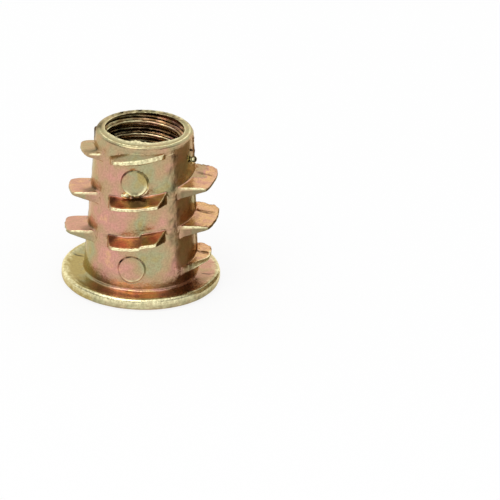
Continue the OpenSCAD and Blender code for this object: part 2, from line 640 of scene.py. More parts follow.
    def place(self, turn: float, row: int, cache: Callable[[float], Section]) -> Vector:
        """Point of a row at a turn.

        Args:
            turn: Turn along the thread.
            row: Number of the row within its turn.
            cache: Gives the section at a turn.

        Returns:
            The point, on a fin or on the skin.
        """
        s = cache(turn)
        kind, t = self.rows[row]
        if kind is Row.SKIN:
            above = cache(turn + 360.0)
            low = s.root_z + s.fillet
            high = above.root_z - above.thick - self.fillet
            z = low + (high - low) * t
            return turned(self.barrel.radius(z), turn, z)
        x, z = self.profile(s, row, turn)
        skin = s.skin if kind in UPPER_ROWS else s.low_skin
        flat = 1.0 - ease(*self.flat_rise, s.rise)
        if flat > 0.0:
            low, high = s.root_z - s.thick - self.fillet, s.root_z + s.fillet
            z += flat * (low + (high - low) * row / self.fin_rows - z)
            skin = self.barrel.radius(z)
        point = turned(skin + x, turn, z)
        if kind in UPPER_ROWS and s.fin and s.fin.side is Side.RIGHT:
            point.z += self.parting(point) * min(x / self.groove_inset, 1.0)
        return point

    def parting(self, point: Vector) -> float:
        """How far the parting line lifts the upper flank of a fin.

        Args:
            point: Point on the flank.

        Returns:
            The lift: a groove along the line, and a rough step behind it.
        """
        beyond = point.y - self.parting_y + self.parting_wave.at(point)
        behind = ease(-self.parting_half, self.parting_half, beyond)
        groove = bump(point.y, self.parting_y + self.groove_shift, self.groove_width)
        lift = self.parting_step * behind
        lift += self.lumps_height * behind * self.parting_lumps.at(point)
        return lift - self.groove_depth * groove

    def grown(self, rise: float) -> float:
        """How fully a fin of some rise takes its worn brightness, painted highlight and painted shade,
        from 0 to 1.
        """
        return ease(*self.worn_and_lit_rise, rise)

    def wear_and_painted_light(self, turn: float, row: int, cache: Callable[[float], Section]) -> float:
        """How brightly a row is worn and lit by a painted highlight, and how dark painted shade makes
        it.

        Args:
            turn: Turn along the thread.
            row: Number of the row within its turn.
            cache: Gives the section at a turn.

        Returns:
            The value, 1 on a bright edge, 0 on the skin and below 0 where painted shade darkens it.
        """
        s = cache(turn)
        kind, t = self.rows[row]
        top = kind is Row.TOP_EDGE or (kind is Row.TOP_FLANK and t == 0.0)
        if s.fin is None or not (top or kind in (Row.LOW_EDGE, Row.LAND)):
            return 0.0
        rubbed_and_lit = self.rub_and_highlight.at(turned(self.lump_r, turn, s.root_z))
        low_end = s.fin.side is Side.FRONT and s.beta < 0
        band = self.low_end_band if low_end else self.crest_band
        on_crest = ease(-band, -0.2 * band, s.rise - s.full_rise)
        if s.fin.side is not Side.FRONT:
            return self.side_wear_and_painted_light(s, rubbed_and_lit, on_crest, top or (s.fin.sink > 0 and kind is Row.LAND))
        if top:
            share = self.low_end_share if low_end else self.flank_share
            return rubbed_and_lit * self.grown(s.rise) * (share + (1.0 - share) * on_crest)
        # Painted shade: the end faces at the front fins' high end are darkened, and the lower rows of
        # the low edge turn darker than its upper rows.
        end_face_shade = 0.0
        if s.beta > 0 and not s.fin.fades:
            end_face_shade = -self.end_shade * (1.0 - on_crest) * self.grown(s.rise)
        if kind is Row.LOW_EDGE:
            return (1.7 * t - 0.7) * on_crest * rubbed_and_lit + end_face_shade
        return rubbed_and_lit * on_crest + end_face_shade

    def side_wear_and_painted_light(self, s: Section, rubbed_and_lit: float, on_crest: float, bright: bool) -> float:
        """Worn brightness and painted highlight of a fin away from the front, bright only on the end
        that faces the front, with painted shade on its crest and on the rest of that end.

        Args:
            s: Section of the thread.
            rubbed_and_lit: Worn brightness and painted highlight of a bright edge there.
            on_crest: How far the place is on the crest, from 0 to 1.
            bright: Whether the row is one that turns bright.

        Returns:
            The value, above 0 bright and below 0 painted shade.
        """
        front = s.beta > 0 if s.fin.side is Side.LEFT else s.beta < 0
        crest = 0.0 if s.fin.sink else self.side_crest * on_crest
        at_end = (1.0 - crest) * self.grown(s.rise - self.sink_share * s.fin.sink)
        if front and bright:
            return rubbed_and_lit * at_end
        # Painted shade on the rows of the front end that do not turn bright; the left fins take half of
        # it.
        dull = self.side_end_shade if s.fin.side is Side.RIGHT else 0.5 * self.side_end_shade
        return -self.crest_shade * on_crest - (dull * at_end if front else 0.0)

    def parting_shadow(self, turn: float, row: int, point: Vector, cache: Callable[[float], Section]) -> float:
        """How dark the painted shadow along the parting line is on the fins of the right side.

        Args:
            turn: Turn along the thread.
            row: Number of the row within its turn.
            point: Point of that row.
            cache: Gives the section at a turn.

        Returns:
            The darkness, which is nothing on every other row and fin.
        """
        s = cache(turn)
        on_top = self.rows[row][0] in (Row.TOP_EDGE, Row.TOP_FLANK)
        if not on_top or s.fin is None or s.fin.side is not Side.RIGHT or s.rise < self.parting_shadow_rise:
            return 0.0
        line = self.parting_y + self.parting_shadow_shift - self.parting_wave.at(point)
        return bump(point.y, line, self.parting_shadow_width) * (self.parting_shadow_level + self.parting_shadow_lumps.at(point))

    def columns(self) -> list[float]:
        """Turns of the strip's columns, close together round the ends of the fins.

        Returns:
            The turns in rising order.
        """
        main = self.spaced(self.main_columns)
        quarters = (main, self.spaced(self.right_columns), main, self.spaced(self.left_columns))
        last = round(self.last_turn / 90.0)
        first = round(self.first_turn / 90.0)
        turns = [90.0 * i + beta for i in range(first, last + 1) for beta in quarters[i % 4]]
        return [*turns, 90.0 * last + 45.0]

    @staticmethod
    def spaced(stops: Stops) -> list[float]:
        """Spaces out the columns of a quarter turn.

        Args:
            stops: Pairs of an angle and the step from there to the next stop.

        Returns:
            The angles, up to 45 degrees.
        """
        angles: list[float] = []
        for (start, step), (end, _) in zip(stops, [*stops[1:], (45.0, 0.0)]):
            count = max(round((end - start) / step), 1)
            angles += [start + (end - start) * i / count for i in range(count)]
        return angles

    def strip(self, bm: bmesh.types.BMesh, wear_and_painted_light: bmesh.types.BMLayerItem) -> None:
        """Rolls a strip up the thread and settles its rows.

        Args:
            bm: Mesh that receives the strip.
            wear_and_painted_light: Layer of the vertices that holds worn brightness, painted highlights
                and painted shade.
        """
        columns = self.columns()
        count = len(self.rows)
        bmesh.ops.create_grid(bm, x_segments=len(columns) - 1, y_segments=count, size=1.0)
        seen: dict[float, Section] = {}

        def cache(turn: float) -> Section:
            """Section at a turn, worked out once."""
            if turn not in seen:
                seen[turn] = self.section(turn)
            return seen[turn]

        for v in bm.verts:
            turn = columns[round((v.co.x + 1.0) / 2.0 * (len(columns) - 1))]
            row = round((v.co.y + 1.0) / 2.0 * count)
            if row == count:
                turn, row = turn + 360.0, 0
            v.co = self.place(turn, row, cache)
            # Worn brightness and painted light of the row, less the painted shadow along the parting
            # line.
            v[wear_and_painted_light] = self.wear_and_painted_light(turn, row, cache) - self.parting_shadow(turn, row, v.co, cache)
        bmesh.ops.remove_doubles(bm, verts=bm.verts, dist=self.merge)


@dataclass(frozen=True)
class EjectorMark:
    """Round flat that a pin of the mould left on the front."""

    z: float
    turn: float = -3.0
    radius: float = 1.2
    proud: float = 0.0
    lean: float = 0.05
    side_lean: float = 0.0
    draft: float = 0.06
    refined: float = 0.4
    pressed: float = 0.16
    edge_band: tuple[float, float] = (-0.02, 0.03)
    # The groove round the flat, shallow below and deep above.
    groove: float = 0.09
    groove_at: float = 0.05
    groove_width: float = 0.09
    groove_low: float = 0.35
    groove_rise: tuple[float, float] = (-0.6, 0.6)
    # The painted highlight of a bright crescent on its edge, painted shade in the groove, a painted
    # shadow below it.
    rubbed_and_lit: float = 0.4
    crescent_at: float = -0.07
    crescent_width: float = 0.12
    crescent_slant: float = 0.4
    crescent_up: tuple[float, float] = (-1.3, 0.0)
    crescent_bright: float = 1.2
    crescent: Lump = Lump(0.3, 0.8, 53.0)
    patches: Uneven = Uneven(0.6, Lump(0.4, 0.9, 51.0), Lump(0.15, 0.6, 52.0))
    groove_shade_width: float = 0.14
    groove_shade_above: tuple[float, float] = (-0.2, 0.9)
    groove_shade_side: float = -0.3
    patch_limits: tuple[float, float] = (0.15, 1.1)
    shadow: float = 0.0
    shadow_at: float = 0.2
    shadow_width: float = 0.2
    shadow_below: tuple[float, float] = (0.5, 1.0)

    def frame(self, point: Vector) -> tuple[float, float, float]:
        """Distances of a point from the mark's centre.

        Args:
            point: The point.

        Returns:
            The distance sideways, upward and outward.
        """
        out = turned(1.0, self.turn, 0.0)
        side = turned(1.0, self.turn + 90.0, 0.0)
        return point.dot(side), point.z - self.z, point.dot(out)

    def inside(self, point: Vector, reach: float) -> bool:
        """Tells whether a point of the skin lies near the mark.

        Args:
            point: The point.
            reach: Distance from the mark's centre that counts as near.

        Returns:
            Whether it does.
        """
        if abs(point.z - self.z) > reach or point.y > 0:
            return False
        side, up, depth = self.frame(point)
        return depth > 0 and math.hypot(side, up) < reach

    def stamp(self, bm: bmesh.types.BMesh, barrel: Barrel, wear_and_painted_light: bmesh.types.BMLayerItem) -> None:
        """Refines the skin round the mark and presses the flat into it.

        Args:
            bm: Mesh of the casting.
            barrel: Barrel that the mark lies on.
            wear_and_painted_light: Layer of the vertices that holds worn brightness, painted highlights
                and painted shade.
        """
        for cuts in (2, 1):
            inside = {v for v in bm.verts if self.inside(v.co, self.radius + self.refined)}
            edges = [e for e in bm.edges if inside.issuperset(e.verts)]
            bmesh.ops.subdivide_edges(bm, edges=edges, cuts=cuts, use_grid_fill=True)
        out = turned(1.0, self.turn, 0.0)
        face = barrel.radius(self.z) + self.proud
        for v in bm.verts:
            if not self.inside(v.co, self.radius + self.pressed):
                continue
            side, up, depth = self.frame(v.co)
            away = math.hypot(side, up)
            plane = face - (self.draft + self.lean) * up + self.side_lean * side
            mask = 1.0 - ease(*self.edge_band, away - self.radius)
            groove = self.groove * bump(away, self.radius + self.groove_at, self.groove_width)
            groove *= self.groove_low + (1.0 - self.groove_low) * ease(*self.groove_rise, up)
            v.co += out * ((plane - depth) * mask - groove)
            # Painted highlight on the lower edge, painted shade in the groove and a painted shadow
            # below the flat.
            v[wear_and_painted_light] += self.shade(v.co, side, up)

    def shade(self, point: Vector, side: float, up: float) -> float:
        """Painted highlight and painted shade that the mark adds to the skin.

        Args:
            point: Point of the skin.
            side: Its distance sideways from the mark's centre.
            up: Its distance upward from there.

        Returns:
            The value, a painted highlight on the lower edge and painted shade in the groove.
        """
        away = math.hypot(side, up)
        width = self.crescent_width + 0.1 * self.rubbed_and_lit
        rubbed_and_lit = bump(away, self.radius + self.crescent_at, width) * self.rubbed_and_lit
        rubbed_and_lit *= 1.0 - ease(*self.crescent_up, up - self.crescent_slant * side)
        rubbed_and_lit *= 0.8 + self.crescent.at(point)
        far = max(away, 0.1)
        shade_and_dirt = bump(away, self.radius + self.groove_at, self.groove_shade_width)
        shade_and_dirt *= (0.2 + ease(*self.groove_shade_above, up / far)) * (0.85 + self.groove_shade_side * side / far)
        low = ease(*self.shadow_below, -up / away)
        shade_and_dirt += self.shadow * bump(away, self.radius + self.shadow_at, self.shadow_width) * low
        least, most = self.patch_limits
        return self.crescent_bright * rubbed_and_lit - shade_and_dirt * min(max(self.patches.at(point), least), most)


class Edge(Enum):
    """How the worn brightness and painted highlight of a ring run round the part."""

    EVEN = auto()
    RIM_OUTSIDE = auto()
    RIM_MOUTH = auto()


@dataclass(frozen=True)
class Ring:
    """One ring of the turned surfaces: where it lies, and how it is shaped."""

    radius: float
    z: float
    wear_and_painted_light: float = 0.0
    hex_af: float = 0.0
    lip: float = 0.0
    burr: float = 0.0
    chip: float = 0.0
    speck: float = 0.0
    edge: Edge = Edge.EVEN
    grains: ClassVar[Uneven] = Uneven(0.0, Lump(0.4, 1.0, 15.0), Lump(0.2, 0.5, 16.0))
    # Painted shade darkens the open end's rings at the back.
    back_turns: ClassVar[tuple[float, float]] = (105.0, 140.0)
    back_shade: ClassVar[float] = 0.35

    def shade(self, turn: float) -> float:
        """Worn brightness and painted light of the ring at a turn.

        Args:
            turn: The turn.

        Returns:
            The value, above 0 bright and below 0 dark.
        """
        grains = self.grains.at(turned(max(self.radius, 3.0), turn, self.z))
        if self.edge is Edge.EVEN:
            return self.wear_and_painted_light + self.speck * grains
        stops = Rim.OUTSIDE if self.edge is Edge.RIM_OUTSIDE else Rim.MOUTH
        bright = table(turn_gap(turn, 0.0), stops)
        back = ease(*self.back_turns, abs(turn_gap(turn, 0.0)))
        return self.wear_and_painted_light * bright + (self.speck + back) * grains - self.back_shade * back


@dataclass(frozen=True)
class Rim:
    """Open end: rounded outer edge, flat ring and the bore's mouth."""

    # How much of its worn brightness and painted highlight a ring has, by the turn from the front.
    OUTSIDE: ClassVar[Stops] = [
        (-180.0, 0.2),
        (-68.0, 0.1),
        (-56.0, 0.8),
        (-40.0, 1.0),
        (70.0, 1.0),
        (110.0, 0.4),
        (180.0, 0.2),
    ]
    MOUTH: ClassVar[Stops] = [
        (-180.0, 0.2),
        (-100.0, 0.4),
        (-22.0, 0.7),
        (-14.0, 1.0),
        (12.0, 1.0),
        (20.0, 0.6),
        (60.0, 0.8),
        (110.0, 0.3),
        (180.0, 0.2),
    ]
    barrel: Barrel
    rounding: float = 0.3
    mouth_r: float = 3.66
    groove_r: float = 4.02
    throat_r: float = 3.375
    throat_z: float = 7.0
    burr_tear: ClassVar[Uneven] = Uneven(0.3, Lump(0.3, 1.0, 4.0), Lump(0.17, 0.6, 6.0))
    burr_level: ClassVar[float] = 0.12
    fold_turns: ClassVar[tuple[float, float]] = (85.0, 40.0)
    fold_middle: ClassVar[float] = -5.0
    burr_front: ClassVar[Streak] = Streak(-3.0, 19.0, 1.3)
    burr_back: ClassVar[Streak] = Streak(175.0, 60.0, 0.3)

    def rings(self) -> list[Ring]:
        """Lays out the rings from the barrel's skin over the end and down the bore.

        Returns:
            The rings, in order.
        """
        h = self.barrel.height
        e = self.rounding
        out = self.barrel.radius(h)
        rings = [
            Ring(out - e + e * math.cos(a), h - e + e * math.sin(a), edge=Edge.RIM_OUTSIDE)
            for a in (math.radians(d) for d in (0, 15, 30, 45, 60, 74))
        ]
        rim, mouth = Edge.RIM_OUTSIDE, Edge.RIM_MOUTH
        # Painted highlights on the outer edge and on the burr at the mouth; painted shade inside the
        # mouth and down the bore.
        rings += [
            Ring(out - e + 0.06, h + 0.01, 0.9, chip=0.8, speck=0.2, edge=rim),
            Ring(out - e, h + 0.02, 1.0, chip=1.0, speck=0.3, edge=rim),
            Ring(out - e - 0.07, h, 0.7, chip=0.7, speck=0.2, edge=rim),
            Ring(out - e - 0.13, h - 0.03, 0.0, edge=rim),
            Ring(self.mouth_r + 0.2, h - 0.03, edge=mouth),
            Ring(self.mouth_r + 0.12, h - 0.02, 0.3, burr=0.3, edge=mouth),
            Ring(self.mouth_r + 0.05, h, 1.2, burr=0.8, speck=0.3, edge=mouth),
            Ring(self.mouth_r, h - 0.02, 1.2, burr=1.0, speck=0.3, edge=mouth),
            Ring(self.mouth_r, h - 0.07, 0.1, burr=0.8, edge=mouth),
            Ring(self.mouth_r + 0.06, h - 0.13, -0.9, burr=0.3, edge=mouth),
            Ring(self.groove_r - 0.05, h - 0.26, -0.9),
            Ring(self.groove_r, h - 0.36, -0.5),
            Ring(self.groove_r, h - 2.0, -0.5),
            Ring(self.groove_r, h - 4.0, -0.5),
            Ring(self.groove_r, self.throat_z + 1.0, -0.5),
            Ring(self.throat_r + 0.05, self.throat_z + 0.8),
            Ring(self.throat_r, self.throat_z + 0.72),
            Ring(self.throat_r, self.throat_z + 0.45),
            Ring(self.throat_r + 0.4, self.throat_z + 0.02),
        ]
        return rings

    @classmethod
    def burr(cls, turn: float) -> tuple[float, float]:
        """Shape of the burr on the mouth.

        Args:
            turn: Turn round the bore.

        Returns:
            How far the burr leans inward, and how far it stands up.
        """
        torn = max(cls.burr_tear.at(turned(3.7, turn, 0.0)), -0.2)
        heavy = cls.burr_level + cls.burr_front.at(turn) + cls.burr_back.at(turn)
        fold = ease(*cls.fold_turns, abs(turn_gap(turn, cls.fold_middle)))
        lean = 0.2 * fold + heavy * (0.08 + 0.15 * torn)
        return lean, 0.1 * fold + heavy * (0.04 + 0.12 * torn)


@dataclass(frozen=True)
class Flange:
    """Round flange with a raised rim, a shallow dish and the hex socket's mouth."""

    barrel: Barrel
    diameter: float = 14.7
    thick: float = 1.1
    edge: float = 0.35
    land_w: float = 0.6
    dish: float = 0.14
    socket_af: float = 8.0
    socket_z: float = 7.0

    def rings(self) -> list[Ring]:
        """Lays out the rings from the barrel's foot round the flange and up the socket.

        Returns:
            The rings, in order.
        """
        f = self.barrel.foot_fillet
        dish_z = self.thick - self.dish
        skin = self.barrel.radius(dish_z + f)
        r = self.diameter / 2
        e = self.edge
        turns = [math.radians(d) for d in range(0, 91, 15)]
        rings = [Ring(skin + f - f * math.cos(a), dish_z + f - f * math.sin(a)) for a in turns]
        rings += [Ring(skin + f + (r - self.land_w - skin - f) * t, dish_z) for t in (0.3, 0.6)]
        # From here outward a faint painted highlight builds up towards the crown.
        rings += [
            Ring(r - self.land_w - 0.32, dish_z + 0.01),
            Ring(r - self.land_w - 0.16, dish_z + 0.05, 0.05, speck=0.3),
            Ring(r - self.land_w, self.thick - 0.02, 0.15, speck=0.5),
            Ring(r - self.land_w + 0.1, self.thick, 0.25, speck=0.6),
        ]
        # Painted highlight along the top of the rounded edge and fainter down the side.
        crown_highlight = (0.3, 0.5, 0.8, 1.0, 0.9, 0.75, 0.6)
        rings += [
            Ring(r - e + e * math.sin(a), self.thick - e + e * math.cos(a), wear_and_painted_light, speck=0.4)
            for a, wear_and_painted_light in zip(turns, crown_highlight)
        ]
        rings += [Ring(r, 0.62, 0.45, speck=0.3), Ring(r, 0.48, 0.2, speck=0.3)]
        # Painted shade darkens the lower rounding towards the underside.
        rings += [
            Ring(r - e + e * math.cos(a), e - e * math.sin(a), 0.2 - 0.55 * math.sin(a), speck=0.35)
            for a in turns
        ]
        rings += [Ring(x, 0.0, 0.1) for x in (6.6, 6.0, 5.4)]
        # The socket's rings give how far they lie outside the hexagon's flats.
        af = self.socket_af
        rings += [
            Ring(0.22, 0.0, 0.2, af),
            Ring(0.06, 0.0, 0.6, af, lip=0.5),
            Ring(0.015, 0.01, 1.0, af, lip=1.0),
            Ring(0.0, 0.06, 0.6, af),
            Ring(-0.01, 0.4, 0.1, af),
            Ring(-0.02, 1.5, 0.0, af),
            Ring(-0.03, 3.0, 0.0, af),
            Ring(-0.04, 4.5, 0.0, af),
            Ring(-0.05, 6.0, 0.0, af),
            Ring(-0.06, self.socket_z - 0.12, 0.0, af),
            Ring(-0.1, self.socket_z, 0.0, af),
            Ring(3.86, self.socket_z),
        ]
        return rings


@dataclass(frozen=True)
class MachineThread:
    """Fine right-handed internal thread, as a ridge that winds up the bore."""

    major_r: float = 4.0
    minor_r: float = 3.375
    pitch: float = 1.25
    back_z: float = 14.06
    low_turn: float = -1880.0
    high_turn: float = 378.0
    fade_turn: float = 60.0
    fade_left: float = 0.15
    top_z: float = 14.84
    in_wall: float = 0.15
    half_gap: float = 0.07
    steps_per_turn: int = 200
    merge: float = 0.001
    wave: Lump = Lump(0.8, 0.02, 1.0)
    swell: Lump = Lump(0.5, 0.025, 4.0)
    coarse_dirt: Lump = Lump(0.4, 0.5, 35.0)
    fine_dirt: Lump = Lump(0.16, 0.4, 36.0)

    def profile(self) -> tuple[tuple[float, float, float], ...]:
        """Lays out the ridge's section, with the cutter's steps on its upper flank.

        Returns:
            Radius, height, and worn brightness with painted highlight and shade, of each point, from
            the lower flank to the upper.
        """
        wall = self.major_r + self.in_wall
        half = 0.5 * self.pitch - self.half_gap
        # Painted highlight lines on the crest and at the first step above it; painted shade darkens the
        # lower flank, the root and the rest of the upper flank.
        return (
            (wall, -half - 0.03, -1.0),
            (self.major_r - 0.02, -half, -1.0),
            (self.minor_r + 0.3, -0.33, -1.0),
            (self.minor_r + 0.06, -0.22, -0.9),
            (self.minor_r + 0.01, -0.17, 0.1),
            (self.minor_r, -0.10, 0.35),
            (self.minor_r, -0.02, 0.2),
            (self.minor_r + 0.03, 0.06, -0.4),
            (self.minor_r + 0.08, 0.11, 1.2),
            (self.minor_r + 0.16, 0.147, -0.9),
            (self.minor_r + 0.24, 0.185, -0.5),
            (self.minor_r + 0.315, 0.292, 0.1),
            (self.minor_r + 0.4, 0.33, -0.7),
            (self.minor_r + 0.495, 0.37, -0.6),
            (self.minor_r + 0.565, 0.47, -0.35),
            (self.major_r - 0.02, half, -0.3),
            (wall, half + 0.03, -1.0),
        )

    def build(self) -> bpy.types.Object:
        """Winds the ridge's section up the bore.

        Returns:
            The ridge as a closed piece.
        """
        bm = bmesh.new()
        wear_and_painted_light = bm.verts.layers.float.new("wear_and_painted_light")
        profile = self.profile()
        z0 = self.back_z + self.pitch * (self.low_turn - 180.0) / 360.0
        wall = self.major_r + self.in_wall
        sweep = self.high_turn - self.low_turn
        steps = int(sweep / 360.0 * self.steps_per_turn)
        bmesh.ops.create_grid(bm, x_segments=steps, y_segments=len(profile), size=1.0)
        for v in bm.verts:
            t = (v.co.x + 1.0) / 2.0
            radius, z, shade = profile[round((v.co.y + 1.0) / 2.0 * len(profile)) % len(profile)]
            left = ease(0.0, self.fade_turn, sweep * (1.0 - t))
            radius = wall - (wall - radius) * (self.fade_left + (1.0 - self.fade_left) * left)
            v.co = turned(radius, self.low_turn + sweep * t, z0 + z + self.pitch * sweep * t / 360.0)
            v[wear_and_painted_light] = shade + self.coarse_dirt.at(v.co) + self.fine_dirt.at(v.co)
        bmesh.ops.remove_doubles(bm, verts=bm.verts, dist=self.merge)
        bmesh.ops.holes_fill(bm, edges=[e for e in bm.edges if e.is_boundary], sides=0)
        for v in bm.verts:
            r = math.hypot(v.co.x, v.co.y)
            v.co.z = min(v.co.z, self.top_z) + self.wave.at(v.co)
            if r < self.major_r:
                widen(v, self.swell.at(v.co))
        return finish_mesh(bm, "machine_thread")


# --------------------------------------------------------------------------- casting


def widen(v: bmesh.types.BMVert, lift: float) -> None:
    """Moves a vertex away from the bore's axis.

    Args:
        v: The vertex.
        lift: How far it moves.
    """
    grow = 1.0 + lift / math.hypot(v.co.x, v.co.y)
    v.co.x *= grow
    v.co.y *= grow


def finish_mesh(bm: bmesh.types.BMesh, name: str) -> bpy.types.Object:
    """Turns a mesh in millimetres into a smooth object in metres.

    Args:
        bm: The mesh, which is freed.
        name: Name of the new object.

    Returns:
        The object, at the origin.
    """
    bmesh.ops.recalc_face_normals(bm, faces=bm.faces)
    bmesh.ops.scale(bm, vec=(MM, MM, MM), verts=bm.verts)
    mesh = bpy.data.meshes.new(name)
    bm.to_mesh(mesh)
    bm.free()
    mesh.polygons.foreach_set("use_smooth", [True] * len(mesh.polygons))
    obj = bpy.data.objects.new(name, mesh)
    bpy.context.scene.collection.objects.link(obj)
    return obj


@dataclass(frozen=True)
class Dent:
    """Small pit or pimple in the barrel's skin."""

    turn: float
    z: float
    size: float
    height: float

    def press(self, v: bmesh.types.BMVert) -> None:
        """Moves a vertex of the skin in or out, if it lies in the dent.

        Args:
            v: The vertex.
        """
        if abs(v.co.z - self.z) > self.size:
            return
        arc = math.radians(turn_gap(turn_of(v.co), self.turn)) * math.hypot(v.co.x, v.co.y)
        away = math.hypot(arc, v.co.z - self.z)
        widen(v, self.height * bump(away, 0.0, self.size))


@dataclass
class Casting:
    """The whole casting as one closed shell."""

    barrel: Barrel = field(default_factory=Barrel)
    strip_low: float = 1.4
    strip_high: float = 14.53
    marks: tuple[EjectorMark, ...] = (
        EjectorMark(11.48, proud=0.06, lean=0.09, side_lean=0.06, rubbed_and_lit=1.8, shadow=0.9),
        EjectorMark(3.05, proud=-0.03, lean=0.04),
    )
    dents: tuple[Dent, ...] = (
        Dent(39.0, 3.2, 0.16, -0.09),
        Dent(-24.0, 14.0, 0.22, 0.08),
        Dent(21.0, 5.0, 0.16, -0.05),
        Dent(10.0, 4.4, 0.3, 0.04),
        Dent(-8.0, 9.0, 0.3, -0.03),
    )
    chips: Uneven = Uneven(0.0, Lump(0.3, 0.05, 13.0), Lump(0.12, 0.03, 14.0))
    lip_drop: float = 0.07
    lip_lumps: Lump = Lump(0.5, 0.4, 2.0)
    level_band: float = 0.001
    bore_clear_r: float = 3.9
    seam_z: tuple[float, float] = (1.5, 14.75)
    seam_reach: float = 0.1
    foot_z: float = 0.3
    swell: Uneven = Uneven(0.0, Lump(1.3, 0.026, 0.0), Lump(0.45, 0.008, 7.0))
    lift: Lump = Lump(0.9, 0.010, 9.0)

    def build(self) -> bpy.types.Object:
        """Builds the shell.

        Returns:
            The casting's object.
        """
        bm = bmesh.new()
        wear_and_painted_light = bm.verts.layers.float.new("wear_and_painted_light")
        OuterThread(self.barrel).strip(bm, wear_and_painted_light)
        for z, way in ((self.strip_high, 1), (self.strip_low, -1)):
            bmesh.ops.bisect_plane(
                bm,
                geom=[*bm.verts, *bm.edges, *bm.faces],
                plane_co=(0, 0, z),
                plane_no=(0, 0, way),
                clear_outer=True,
                dist=1e-5,
            )
        for mark in self.marks:
            mark.stamp(bm, self.barrel, wear_and_painted_light)
        top = self.open_loop(bm, self.strip_high)
        low = self.open_loop(bm, self.strip_low)
        top = self.draw(bm, top, Rim(self.barrel).rings(), wear_and_painted_light)
        low = self.draw(bm, low, Flange(self.barrel).rings(), wear_and_painted_light)
        bmesh.ops.bridge_loops(bm, edges=top + low)
        self.weather(bm)
        return finish_mesh(bm, "casting")

    def open_loop(self, bm: bmesh.types.BMesh, z: float) -> list[bmesh.types.BMEdge]:
        """Finds an open end of the strip.

        Args:
            bm: Mesh of the casting.
            z: Height of the open end.

        Returns:
            The open edges at that height.
        """
        return [
            e
            for e in bm.edges
            if e.is_boundary and all(abs(v.co.z - z) < self.level_band for v in e.verts)
        ]

    def draw(
        self,
        bm: bmesh.types.BMesh,
        loop: list[bmesh.types.BMEdge],
        rings: list[Ring],
        wear_and_painted_light: bmesh.types.BMLayerItem,
    ) -> list[bmesh.types.BMEdge]:
        """Extrudes an open loop through a row of rings.

        Args:
            bm: Mesh of the casting.
            loop: Edges of the open loop.
            rings: Rings to follow, in order.
            wear_and_painted_light: Layer of the vertices that holds worn brightness, painted highlights
                and painted shade.

        Returns:
            The edges of the last ring.
        """
        for ring in rings:
            made = bmesh.ops.extrude_edge_only(bm, edges=loop)["geom"]
            loop = [g for g in made if isinstance(g, bmesh.types.BMEdge)]
            for v in (g for g in made if isinstance(g, bmesh.types.BMVert)):
                turn = turn_of(v.co)
                v.co = self.on_ring(ring, turn)
                v[wear_and_painted_light] = ring.shade(turn)
        return loop

    def on_ring(self, ring: Ring, turn: float) -> Vector:
        """Point of a ring, with its chips, its burr and the socket's flats.

        Args:
            ring: The ring.
            turn: Turn round the bore.

        Returns:
            The point.
        """
        radius, z = ring.radius, ring.z
        if ring.chip:
            z += ring.chip * self.chips.at(turned(4.0, turn, 0.0))
        if ring.burr:
            lean, rise = Rim.burr(turn)
            radius -= ring.burr * lean
            z += ring.burr * rise
        if ring.hex_af:
            # The hexagon has a corner to the right, and one every 60 degrees from there.
            corner = (turn - 90.0 + 30.0) % 60.0 - 30.0
            flat = abs(corner) - 30.0
            radius += ring.hex_af / 2.0 / math.cos(math.radians(flat))
            z -= self.lip_drop * ring.lip * (0.6 + self.lip_lumps.at(turned(4.4, turn, 0.0)))
        return turned(radius, turn, z)

    def weather(self, bm: bmesh.types.BMesh) -> None:
        """Gives the shell its parting line and the slight unevenness of a casting.

        Args:
            bm: Mesh of the casting.
        """
        seam_low, seam_high = self.seam_z
        for v in bm.verts:
            r = math.hypot(v.co.x, v.co.y)
            if r < self.bore_clear_r:
                continue
            for dent in self.dents:
                dent.press(v)
            swell = self.swell.at(v.co)
            on_skin = abs(r - self.barrel.radius(v.co.z)) < self.seam_reach
            if seam_low < v.co.z < seam_high and on_skin:
                swell += self.barrel.seam(v.co)
            grow = 1.0 + swell / r
            v.co.x *= grow
            v.co.y *= grow
            if v.co.z > self.foot_z:
                v.co.z += self.lift.at(v.co)


@dataclass(frozen=True)
class Stain:
    """Soft patch where the passivation's colour shifts; the shadow spots use it for painted shadow
    instead.
    """

    turn: float
    z: float
    size: float
    tint: float
    stretch: float = 1.0
    flat: float = 0.0
    mean_r: ClassVar[float] = 4.9

    def at(self, point: Vector) -> float:
        """The patch's share of the tint.

        Args:
            point: Point on the skin.

        Returns:
            The share, which is nothing beyond the patch.
        """
        gap = math.radians(turn_gap(turn_of(point), self.turn)) * self.mean_r / self.stretch
        away = math.hypot(gap, point.z - self.z)
        return self.tint * bump(max(away - self.flat, 0.0), 0.0, self.size - self.flat)


